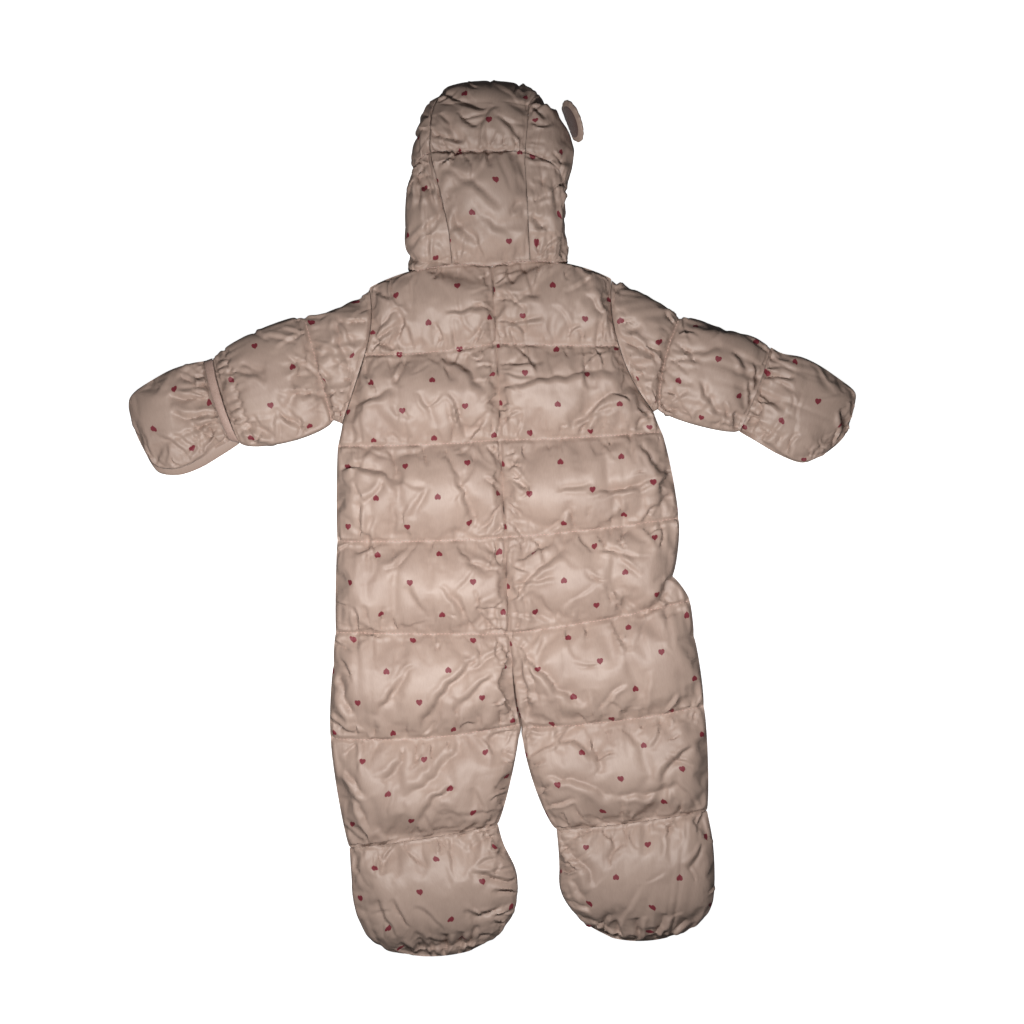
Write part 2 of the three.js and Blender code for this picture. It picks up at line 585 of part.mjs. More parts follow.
const sleeveLeft = new Piece(SLEEVE_LEFT, { gathers: GATHERS.sleeveLeft, firstRow: armhole(backLeft) });
const sleeveRight = new Piece(SLEEVE_RIGHT, { gathers: GATHERS.sleeveRight, firstRow: armhole(backRight) });
const flapLeft = new Piece(FLAP_LEFT, { smooth: true, gathers: GATHERS.flapLeft });
const flapRight = new Piece(FLAP_RIGHT, { smooth: true, gathers: GATHERS.flapRight });
const palmLeft = new Piece(PALM_LEFT, { smooth: true });
const lower = (rows) => rows.map((row, i) => ({ ...row, fill: LOWER_FILL, seam: i === 0 ? 1 : row.seam }));
const palmRight = new Piece(lower(FLAP_RIGHT), { smooth: true });
const bootieTopLeft = new Piece(BOOTIE_LEFT, { smooth: true, gathers: GATHERS.bootieLeft });
const bootieTopRight = new Piece(BOOTIE_RIGHT, { smooth: true, gathers: GATHERS.bootieRight });
const bootieSoleLeft = new Piece(lower(BOOTIE_LEFT), { smooth: true });
const bootieSoleRight = new Piece(lower(BOOTIE_RIGHT), { smooth: true });

// The binding at the left wrist lies between the last row of the sleeve and the first row of the flap.
function bandSolid() {
  const us = stations(16, 0.3);
  const edges = [(u) => sleeveLeft.plan(u, 2), (u) => flapLeft.plan(u, 0)];
  const outer = [];
  const inner = [];
  for (const t of [0, 0.3, 0.7, 1]) {
    const along = us.map((u) => edges[0](u).lerp(edges[1](u), mix(...BAND_EDGES, t)));
    const lift = us.map((u) => EDGE_WALL + (BAND_CROWN + BAND_ROUND * arch(t)) * Math.sqrt(arch(u)));
    const base = LAYER_HEIGHT + SEAM_GAP / 2;
    inner.push(along.map((p) => vec(p.x, p.y, base)));
    outer.push(along.map((p, k) => vec(p.x, p.y, base + lift[k])));
  }
  return closedWall(outer, inner, false);
}

// Neck seam, which the lowest edge of the hood follows.
function neckY(x) {
  const body = x < 0 ? backLeft : backRight;
  const u = THREE.MathUtils.clamp(x / body.rows[0].bx, 0, 1);
  return body.rowPoint(0, u).y;
}

// A point of the hood's section: s runs from the seam (0) over the rim (0.5) to the lip (1), depth is how
// far inside the outer face it lies.
function sectionPoint(row, s, depth) {
  const seam = vec(row.seamX, row.seamY, row.seamZ);
  const rim = vec(row.rimX, row.rimY, row.rimZ);
  const end = s <= 0.5 ? seam : vec(row.lipX, row.lipY, row.lipZ);
  const centre = vec(end.x, end.y, rim.z);
  const toRim = rim.clone().sub(centre);
  const toEnd = end.clone().sub(centre);
  const angle = Math.PI * s;
  const share = (axis) => Math.max(0.05, 1 - depth / axis.length());
  const point = centre.addScaledVector(toRim, share(toRim) * Math.abs(Math.sin(angle)) ** HOOD_ROUND);
  return point.addScaledVector(toEnd, share(toEnd) * Math.abs(Math.cos(angle)) ** HOOD_ROUND);
}

function hoodPoint(rows, s, v, depth) {
  const i = Math.min(Math.floor(v), rows.length - 2);
  const point = sectionPoint(rows[i], s, depth).lerp(sectionPoint(rows[i + 1], s, depth), v - i);
  if (v === 0) point.y = neckY(point.x) + SLEEVE_GAP;
  return point;
}

// Station k of the hood, bent so that it follows the quilting seam, which drops towards the rim.
function hoodStation(k, s, drop) {
  const seamRow = HOOD_QUILT_ROW - drop * Math.min(1, s / 0.5);
  const below = k <= HOOD_LOWER;
  const t = below ? k / HOOD_LOWER : (k - HOOD_LOWER) / HOOD_UPPER;
  const share = mix(t, cosine(t), 0.6);
  return { v: below ? seamRow * share : mix(seamRow, HOOD_ROWS, share), t };
}

const wallAt = (s) => mix(HOOD_WALL, HOOD_LIP, s ** 2);

function hoodSide(rows, drop) {
  const ss = stations(13, 0.3);
  const side = Math.sign(rows[0].rimX);
  const outer = [];
  const inner = [];
  for (let k = 0; k <= HOOD_LOWER + HOOD_UPPER; k++) {
    const outerRow = [];
    const innerRow = [];
    for (const s of ss) {
      const { v, t } = hoodStation(k, s, drop);
      const point = hoodPoint(rows, s, v, 0);
      const inside = hoodPoint(rows, s, v, wallAt(s));
      const out = hoodPoint(rows, s, v, 0).sub(hoodPoint(rows, s, v, 3)).normalize();
      const swell = Math.sin(Math.PI * Math.min(1, s * HOOD_PUFF_END));
      const puff = HOOD_PUFF * Math.sqrt(arch(t)) * Math.sqrt(swell);
      point.addScaledVector(vec(out.x, out.y, Math.max(0, out.z)), HOOD_SIDE_PUFF * puff);
      for (const p of [point, inside]) p.x += side * (SEAM_GAP / 2) * (1 - s);
      point.z = Math.max(rows[Math.floor(v)].lipZ > 0 ? rows[Math.floor(v)].lipZ : 0, point.z);
      outerRow.push(point);
      innerRow.push(inside);
    }
    outer.push(outerRow);
    inner.push(innerRow);
  }
  return closedWall(outer, inner, false);
}

// The centre panel runs up between the two side panels, over the crown and under to the forehead edge.
function hoodCentre() {
  const us = stations(10, 0.6);
  const crown = stations(11, 0.2).slice(1);
  const outer = [];
  const inner = [];
  const addRow = (left, right, insideLeft, insideRight, puff, out) => {
    const gapped = (u) => (1 - 2 * u) * SEAM_GAP;
    const bulge = (u) => puff * arch(u) ** 0.6;
    const across = (from, to, share) =>
      us.map((u) => from.clone().lerp(to, u).addScaledVector(out, share * bulge(u)).add(vec(gapped(u), 0)));
    outer.push(across(left, right, 1));
    inner.push(across(insideLeft, insideRight, 0.8));
  };
  for (let k = 0; k <= HOOD_LOWER + HOOD_UPPER; k++) {
    const { v, t } = hoodStation(k, 0, 0);
    const ends = [HOOD_LEFT, HOOD_RIGHT].map((rows) => hoodPoint(rows, 0, v, 0));
    const inside = [HOOD_LEFT, HOOD_RIGHT].map((rows) => hoodPoint(rows, 0, v, HOOD_WALL));
    const base = HOOD_BASE * Math.min(1, v / 2);
    addRow(...ends, ...inside, base + HOOD_PUFF * Math.sqrt(arch(t)), vec(0, 0, 1));
  }
  for (const s of crown) {
    const ends = [HOOD_LEFT, HOOD_RIGHT].map((rows) => hoodPoint(rows, s, HOOD_ROWS, 0));
    const inside = [HOOD_LEFT, HOOD_RIGHT].map((rows) => hoodPoint(rows, s, HOOD_ROWS, wallAt(s)));
    const angle = Math.PI * s;
    const reach = mix(HOOD_BASE, HOOD_CROWN_REACH, Math.sin(angle)) * Math.min(1, (1 - s) * 4);
    addRow(...ends, ...inside, reach, vec(0, Math.sin(angle), Math.max(0, Math.cos(angle))).normalize());
  }
  const neckRow = (row) => row.forEach((p) => (p.y = neckY(p.x) + SLEEVE_GAP));
  neckRow(outer[0]);
  neckRow(inner[0]);
  return closedWall(outer, inner, false);
}

// A padded ear: a round disc cut off along the line where it is sewn on, with rounded faces.
function earGeometry(thick) {
  const outline = new THREE.Shape();
  const start = (Math.PI - EAR_SWEEP) / 2;
  outline.absarc(0, 0, EAR_RADIUS - EAR_ROUND / 2, start, start + EAR_SWEEP, false);
  outline.closePath();
  const bevel = Math.min(EAR_ROUND, thick * 0.35);
  const geometry = new THREE.ExtrudeGeometry(outline, {
    depth: thick - 2 * bevel,
    bevelEnabled: true,
    bevelThickness: bevel,
    bevelSize: EAR_ROUND / 2,
    bevelSegments: 2,
    curveSegments: 16,
  });
  return geometry.translate(0, 0, bevel - thick / 2);
}

// The zip's tape with its coil: a T in section, the coil towards the floor.
function tapeGeometry(length) {
  const outline = new THREE.Shape();
  const top = TAPE_THICK + COIL_THICK;
  outline.moveTo(-COIL_WIDTH / 2, 0);
  outline.lineTo(COIL_WIDTH / 2, 0);
  outline.lineTo(COIL_WIDTH / 2, COIL_THICK);
  outline.lineTo(TAPE_WIDTH / 2, COIL_THICK);
  outline.lineTo(TAPE_WIDTH / 2, top);
  outline.lineTo(-TAPE_WIDTH / 2, top);
  outline.lineTo(-TAPE_WIDTH / 2, COIL_THICK);
  outline.lineTo(-COIL_WIDTH / 2, COIL_THICK);
  outline.closePath();
  return new THREE.ExtrudeGeometry(outline, { depth: length, bevelEnabled: false }).rotateX(Math.PI / 2);
}

// Joins with manifold-3d: each geometry becomes a solid, and the sum comes back as a geometry.
const wasm = await Module();
wasm.setup();
function solidOf(geometry) {
  const bare = geometry.clone();
  bare.deleteAttribute("normal");
  bare.deleteAttribute("uv");
  const merged = mergeVertices(bare, 1e-4);
  const vertProperties = merged.attributes.position.array;
  const triVerts = new Uint32Array(merged.index.array);
  return new wasm.Manifold(new wasm.Mesh({ numProp: 3, vertProperties, triVerts }));
}
function joined(geometries) {
  const solid = geometries.map(solidOf).reduce((sum, next) => sum.add(next));
  const mesh = solid.getMesh();
  const geometry = new THREE.BufferGeometry();
  geometry.setAttribute("position", new THREE.BufferAttribute(new Float32Array(mesh.vertProperties), 3));
  geometry.setIndex(new THREE.BufferAttribute(new Uint32Array(mesh.triVerts), 1));
  return geometry;
}

function blockAt(width, length, height, x, y, z) {
  return new THREE.BoxGeometry(width, length, height).translate(x, y, z);
}

function sliderGeometry() {
  const plateMiddle = PLATE_TOP - PLATE_THICK / 2;
  const flangeHigh = FLANGE_TOP - PLATE_TOP + PLATE_THICK;
  const flangeX = COIL_WIDTH / 2 + SEAM_GAP + FLANGE_THICK / 2;
  const flanges = [-1, 1].map((side) =>
    blockAt(FLANGE_THICK, SLIDER_LENGTH - 2, flangeHigh, side * flangeX, 0, FLANGE_TOP - flangeHigh / 2),
  );
  const archTop = PLATE_TOP - PLATE_THICK;
  const postY = (ARCH_LONG - ARCH_BAR) / 2;
  const postHigh = ARCH_HIGH + ARCH_ROOT;
  const posts = [-1, 1].map((side) =>
    blockAt(ARCH_WIDE, ARCH_BAR, postHigh, 0, side * postY, archTop + ARCH_ROOT - postHigh / 2),
  );
  const bar = blockAt(ARCH_WIDE, ARCH_LONG, ARCH_BAR, 0, 0, archTop - ARCH_HIGH + ARCH_BAR / 2);
  const plate = blockAt(SLIDER_WIDTH, SLIDER_LENGTH, PLATE_THICK, 0, 0, plateMiddle);
  return joined([plate, ...flanges, ...posts, bar]);
}

// The pull tab hangs on the arch by a window, and its long end points to the feet. Its origin is the pivot.
function pullGeometry() {
  const outline = new THREE.Shape();
  const halfEye = PULL_WIDTH / 2;
  outline.moveTo(-halfEye, EYE_RIM / 2);
  outline.lineTo(-halfEye * PULL_WAIST, -PULL_LENGTH * PULL_WAIST_AT);
  outline.absarc(0, -PULL_LENGTH + halfEye, halfEye, Math.PI, 2 * Math.PI, false);
  outline.lineTo(halfEye * PULL_WAIST, -PULL_LENGTH * PULL_WAIST_AT);
  outline.lineTo(halfEye, EYE_RIM / 2);
  outline.closePath();
  const hole = new THREE.Path();
  const high = -EYE_RIM / 2;
  const low = high - WINDOW_LONG;
  hole.moveTo(-WINDOW_WIDE / 2, high);
  hole.lineTo(WINDOW_WIDE / 2, high);
  hole.lineTo(WINDOW_WIDE / 2, low);
  hole.lineTo(-WINDOW_WIDE / 2, low);
  hole.closePath();
  outline.holes.push(hole);
  const options = { depth: PULL_THICK, bevelEnabled: false, curveSegments: 6 };
  return new THREE.ExtrudeGeometry(outline, options).translate(0, 0, -PULL_THICK / 2);
}

const suit = new THREE.Group();
function addMesh(parent, name, geometry, finish) {
  const mesh = new THREE.Mesh(geometry, new THREE.MeshStandardMaterial(finish));
  mesh.name = name;
  parent.add(mesh);
  return mesh;
}

const bodyAcross = stations(11);
const frontAcross = stations(8);
const cuffAcross = stations(24, 0.3);
const soleAcross = stations(9);
addMesh(suit, "back_left", layerSolid(backLeft, 1, bodyAcross, { trim: bodyTrim(backLeft, -1) }), CLOTH);
addMesh(suit, "back_right", layerSolid(backRight, 1, bodyAcross, { trim: bodyTrim(backRight, 1) }), CLOTH);
for (const [name, piece, side] of [["front_left", frontLeft, -1], ["front_right", frontRight, 1]]) {
  addMesh(suit, name, layerSolid(piece, -1, frontAcross, { trim: frontTrim(piece, side) }), CLOTH);
}
addMesh(suit, "sleeve_left", sleeveSolid(sleeveLeft, 13), CLOTH);
addMesh(suit, "sleeve_right", sleeveSolid(sleeveRight, 13), CLOTH);
addMesh(suit, "wrist_band_left", bandSolid(), BINDING);
for (const [name, piece, side, us, step] of [
  ["mitten_flap_left", flapLeft, 1, cuffAcross, 12],
  ["mitten_flap_right", flapRight, 1, cuffAcross, 12],
  ["mitten_palm_left", palmLeft, -1, soleAcross, 14],
  ["mitten_palm_right", palmRight, -1, soleAcross, 14],
  ["bootie_top_left", bootieTopLeft, 1, cuffAcross, 11],
  ["bootie_top_right", bootieTopRight, 1, cuffAcross, 11],
  ["bootie_sole_left", bootieSoleLeft, -1, soleAcross, 14],
  ["bootie_sole_right", bootieSoleRight, -1, soleAcross, 14],
]) {
  addMesh(suit, name, layerSolid(piece, side, us, { trim: seamTrim(piece, SEAM_GAP / 2, 0), step }), CLOTH);
}

addMesh(suit, "hood_centre", hoodCentre(), CLOTH);
addMesh(suit, "hood_left", hoodSide(HOOD_LEFT, HOOD_DROP.left), CLOTH);
addMesh(suit, "hood_right", hoodSide(HOOD_RIGHT, HOOD_DROP.right), CLOTH);

// The right ear stands out from the rim of the hood beside the crown, the left one lies under the hood.
const earRight = addMesh(suit, "ear_right", earGeometry(EAR_THICK), EAR_CLOTH);
const earFacing = EAR_ALONG.clone().cross(EAR_OUT);
earRight.quaternion.setFromRotationMatrix(new THREE.Matrix4().makeBasis(EAR_ALONG, EAR_OUT, earFacing));
earRight.position.copy(EAR_RIGHT_SEAT).addScaledVector(EAR_OUT, EAR_RADIUS * EAR_MIDDLE);
const earLeft = addMesh(suit, "ear_left", earGeometry(FLAT_EAR_THICK), EAR_CLOTH);
earLeft.position.copy(EAR_LEFT_SEAT);
earLeft.rotation.z = FLAT_EAR_TURN;

// The zip's group stands at the top of the zip and is turned along its line.
const zip = new THREE.Group();
zip.position.set(ZIP_TOP[0], ZIP_TOP[1], 0);
zip.rotation.z = zipTilt;
const zipLength = Math.hypot(ZIP_END[0] - ZIP_TOP[0], ZIP_END[1] - ZIP_TOP[1]);
addMesh(zip, "zip_tape", tapeGeometry(zipLength - TAPE_SHORT), TAPE_CLOTH).position.z = COIL_BOTTOM;
addMesh(zip, "zip_slider", sliderGeometry(), METAL).position.y = -SLIDER_BELOW_TOP;
const pull = addMesh(zip, "zip_pull", pullGeometry(), METAL);
pull.position.set(0, -SLIDER_BELOW_TOP, PIVOT_HEIGHT);
pull.rotation.x = PULL_REST;
suit.add(zip);

export default suit;
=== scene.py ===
"""Dresses a baby snowsuit, which lies flat with its quilted back up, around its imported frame.

The tables are in millimetres, with +Z up, the hood towards +Y and the floor at Z = 0. Left and right are the
left and right of the view from above. Every padded piece starts as a slack closed wall on the pattern's own
grid, is blown up with Blender's Cloth between its sewn rows, and then gets its puckers and its creases.
"""
import logging
import math
from collections.abc import Callable, Sequence
from dataclasses import dataclass, field, replace
from enum import Enum

import bpy
import numpy as np
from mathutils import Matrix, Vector


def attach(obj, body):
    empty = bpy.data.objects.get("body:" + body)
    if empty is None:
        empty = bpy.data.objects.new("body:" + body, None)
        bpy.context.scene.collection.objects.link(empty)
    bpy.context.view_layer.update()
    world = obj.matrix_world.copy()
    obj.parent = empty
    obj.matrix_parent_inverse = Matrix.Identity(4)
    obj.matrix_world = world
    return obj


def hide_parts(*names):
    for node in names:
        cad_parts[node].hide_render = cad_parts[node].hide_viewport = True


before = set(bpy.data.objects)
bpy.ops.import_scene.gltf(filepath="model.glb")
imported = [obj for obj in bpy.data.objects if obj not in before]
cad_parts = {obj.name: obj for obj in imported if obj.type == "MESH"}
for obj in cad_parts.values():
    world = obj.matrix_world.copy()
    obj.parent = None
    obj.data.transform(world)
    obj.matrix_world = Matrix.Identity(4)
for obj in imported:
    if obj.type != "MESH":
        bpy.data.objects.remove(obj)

logging.basicConfig(level=logging.INFO, format="%(message)s")
log = logging.getLogger("snowsuit")

MM = 0.001

# Walls and seams, as in the frame
SEAM_GAP = 0.3
LAYER_HEIGHT = 15.0
EDGE_WALL = 2.6
FREE_EDGE_RISE = 42.0
SEAM_EDGE_RISE = 14.0
PUFF = 0.5
UPPER_FLOOR = 15.4
LOWER_FILL = 22.0
SLACK = 0.3


class Side(Enum):
    """The layer that a piece is in."""

    UPPER = 1
    LOWER = -1


@dataclass(frozen=True)
class Row:
    """A section across a cut piece, from its inner end a to its outer end b."""

    ax: float
    ay: float
    bx: float
    by: float
    swell_a: float = 0.0
    swell_b: float = 0.0
    bow: float = 0.0
    fill: float = 0.0
    end_a: float = 0.0
    end_b: float = 0.0
    seam: float = 0.0


@dataclass(frozen=True)
class Crease:
    """A fold of the cloth: a trough, gentle on its left and steep on its right, with a ridge beside it there."""

    x0: float
    y0: float
    x1: float
    y1: float
    width: float
    depth: float
    bend: float = 0.0


def rows_of(*numbers: Sequence[float]) -> list[Row]:
    """Turns rows of numbers into sections."""
    return [Row(*row) for row in numbers]


BACK_LEFT = rows_of(
    (0, 242, -116.5, 221, 0, -4.2, -9, 19, 0.55, 0.2, 0.5),
    (4.3, 168, -120.4, 157, 0, -0.5, 3, 24, 0.5, 0.55, 0.45),
    (7.5, 99.3, -142, 91.7, 0, 0, 2, 24, 0.5, 0.12, 0),
    (8.5, 76.5, -146.3, 71, 0, 1, 2, 24, 0.5, 0.1, 0.45),
    (12.3, -15.7, -146.8, -19.5, 0, 1, 2, 24, 0.5, 0.1, 0.45),
    (16.1, -107, -148.2, -106, 0, 1, 1, 25, 0.5, 0.1, 0.45),
    (19, -133.5, -150, -136.3, -2, 2, 0, 25, 0.3, 0.1, 0),
    (26.1, -193.3, -153, -206.5, 3, 2.5, 6, 25, 0.1, 0.1, 0.45),
    (5.2, -288.3, -135.4, -310.2, 0, 0, 2, 25, 0.1, 0.1, 0.45),
)
BACK_RIGHT = rows_of(
    (0, 242, 113.5, 229.4, 0, -3.5, -10, 19, 0.55, 0.2, 0.5),
    (4.3, 168, 120, 166, 0, -4, 1, 24, 0.5, 0.55, 0.45),
    (7.3, 103, 153.4, 103.1, 0, 0, 1, 24, 0.5, 0.12, 0),
    (8.5, 76.5, 160.6, 85, 0, 2.5, 2, 24, 0.5, 0.1, 0.45),
    (12.3, -15.7, 176.7, 2.4, 0, 3, 2, 24, 0.5, 0.1, 0.45),
    (14.8, -76, 171, -53, 0, 2, 1, 25, 0.5, 0.1, 0),
    (16.1, -107, 187.6, -76, 0, 1, 3, 25, 0.5, 0.1, 0.45),
    (19, -133.5, 191.4, -109.7, 1, 2, 0, 25, 0.3, 0.1, 0),
    (29.9, -196.2, 200.9, -176.2, 7, 2.5, 4, 25, 0.1, 0.1, 0.45),
    (61.3, -293.1, 204.2, -275, 0, 0, 2, 25, 0.1, 0.1, 0.45),
)

SLEEVE_LEFT = rows_of(
    (-142, 91.7, -116.5, 221, 0, -3, 0, 20, 0.1, 0, 0.55),
    (-151.5, 95.5, -179, 195, 10, 6, 0, 21, 0.1, 0, 0.45),
    (-240, 73.6, -265.5, 154.4, 0, 0, 2, 19, 0.12, 0, 0.55),
)
SLEEVE_RIGHT = rows_of(
    (153.4, 103.1, 113.5, 229.4, 0, 5, 0, 20, 0.1, 0, 0.55),
    (158.2, 105.9, 179.1, 193.3, 5, 6, -5, 21, 0.1, 0, 0.45),
    (235.1, 85, 264.6, 164.8, 0, 0, 2, 20, 0.12, 0, 0.5),
)


def outline_of(fill: float, end: float, seams: tuple[float, float], *corners: Sequence[float]) -> list[Row]:
    """Rows of a piece with one fill, from its corners ax, ay, bx, by and the bow of its two end rows."""
    final = len(corners) - 1
    rows = []
    for i, (ax, ay, bx, by, *bow) in enumerate(corners):
        seam = seams[0] if i == 0 else seams[1] if i == final else 0
        rows.append(Row(ax, ay, bx, by, 0, 0, *(bow or [0]), fill, end, end, seam))
    return rows


FLAP_LEFT = outline_of(
    17, 0.12, (0.6, 0.12),
    (-248.4, 75.5, -273.1, 151.5, 2), (-259.8, 69.8, -286.4, 149.2), (-280.7, 56.5, -305.4, 143),
    (-301.6, 48.9, -324.4, 132.5), (-319.7, 51.8, -338.7, 123), (-329.2, 64.1, -344.4, 115.4),
    (-336.8, 79.3, -345.3, 106.9, 0.5),
)
PALM_LEFT = outline_of(
    LOWER_FILL, 0.12, (1, 0.12),
    (-240.6, 73.4, -266, 154.3, 2), (-257.9, 62.2, -286.4, 149.2), (-278.8, 49.9, -305.4, 143),
    (-300.1, 43.2, -324.4, 132.5), (-319.7, 46.5, -338.7, 123), (-329.2, 62.2, -344.8, 114.5),
    (-336.8, 78.4, -345.8, 105.9, 0.5),
)
FLAP_RIGHT = outline_of(
    19, 0.12, (0.5, 0.12),
    (235.1, 85, 264.6, 164.8, 2), (251.8, 75.5, 276, 158.7), (272.8, 63.2, 294, 155.3), (294, 55.1, 311.1, 147.3),
    (306.4, 58.4, 329.2, 135), (318.7, 65.1, 343.1, 124.4), (333, 77.4, 345.8, 117.3),
    (337.7, 87.9, 344.4, 108.8, 0.5),
)
BOOTIE_LEFT = outline_of(
    31, 0.1, (0.42, 0.1),
    (5.2, -288.3, -135.4, -310.2, 2), (10.9, -308.3, -133.9, -332), (22.3, -332, -131.6, -355.8),
    (24.2, -352.9, -126, -376.7), (18.5, -374.8, -115, -395.7), (2, -395.7, -93, -409),
    (-21.4, -409, -66, -414, 1.5),
)
BOOTIE_RIGHT = outline_of(
    31, 0.1, (0.42, 0.1),
    (61.3, -293.1, 204.2, -275, 2), (63.2, -313, 209.5, -303.5), (64.1, -330.1, 211.4, -332),
    (64.5, -349.1, 210.4, -353.9), (73.5, -367, 204.5, -371.9), (91, -384, 187, -388),
    (114, -396.5, 163, -397, 2.5),
)


@dataclass(frozen=True)
class HoodRow:
    """A section of the hood: the seam beside the centre panel, the rim and the lip of the face opening."""

    seam: tuple[float, float, float]
    rim: tuple[float, float, float]
    lip: tuple[float, float, float]


def hood_rows(*numbers: Sequence[float]) -> list[HoodRow]:
    """Turns rows of nine numbers into sections of the hood."""
    return [HoodRow(row[:3], row[3:6], row[6:]) for row in numbers]


HOOD_LEFT = hood_rows(
    (-37.5, 242, 31, -79, 237, 15, -14, 245.6, -3),
    (-40.4, 271, 46, -81.5, 266.5, 20, -31, 261.7, -3),
    (-47, 302.6, 52, -78.5, 299.7, 23, -36.6, 293, -3),
    (-55.6, 335, 53, -75, 331, 25, -35.6, 323.5, -3),
    (-58, 351, 52, -72.1, 352, 26, -33, 342.5, 7.6),
    (-57.5, 366, 52, -69.3, 370, 27, -31, 356, 7.6),
    (-56.5, 378.6, 50, -60.7, 389, 27, -30, 365.3, 7.6),
    (-53.7, 389, 46, -46.5, 403.3, 27, -30, 373, 7.6),
)
HOOD_RIGHT = hood_rows(
    (36, 245, 31, 71.1, 244.6, 15, 14, 245.6, -3),
    (34.7, 271, 46, 67.5, 271, 20, 28, 261.7, -3),
    (33.2, 302.6, 52, 69, 299.7, 23, 31.8, 293, -3),
    (31, 335, 53, 73.5, 331, 25, 31, 323.5, -3),
    (31.8, 351, 52, 75, 350, 26, 29, 342.5, -3),
    (33.2, 366, 52, 70.2, 368, 27, 28, 356, 3),
    (34.2, 378.6, 50, 59.7, 388, 27, 27, 365.3, 7.6),
    (34.7, 389, 46, 43.5, 402.3, 27, 27, 373, 7.6),
)


def mix(a, b, t):
    """Blends from a to b by the share t."""
    return a + (b - a) * t


def arch(t):
    """An arch from 0 over 1 back to 0."""
    return np.maximum(0.0, 4 * t * (1 - t))


def cosine(t):
    """An even ease from 0 to 1."""
    return (1 - np.cos(np.pi * np.asarray(t))) / 2


def stations(count: int, pull: float = 0.6) -> np.ndarray:
    """Stations from 0 to 1 that are drawn towards both ends by the share pull."""
    t = np.linspace(0, 1, count + 1)
    return mix(t, cosine(t), pull)


def wobble(x, seed: int, octaves: int = 3):
    """A smooth wandering line between about -1 and 1.

    Args:
        x: Places along it; a bump is about 1 long.
        seed: Picks the line.
        octaves: Number of sines that are summed.

    Returns:
        The line's value at each place.
    """
    draw = np.random.default_rng(seed)
    total = np.zeros_like(np.asarray(x, dtype=float))
    for k in range(octaves):
        pace = math.pi * (0.7 + 0.75 * k + 0.3 * draw.random())
        total = total + np.sin(np.asarray(x) * pace + draw.random() * 2 * math.pi) / (1 + 0.5 * k)
    return total / 1.6


def rise(distance, end: float):
    """The quarter-round rise from the share end at an edge to 1.

    Args:
        distance: Distance from the edge.
        end: Share of the height at the edge; a high one is a seam's, which rises faster.

    Returns:
        The share of the height.
    """
    width = mix(FREE_EDGE_RISE, SEAM_EDGE_RISE, min(1.0, end / 0.5))
    t = np.minimum(1.0, distance / width)
    return end + (1 - end) * np.sqrt(1 - (1 - t) ** 2)


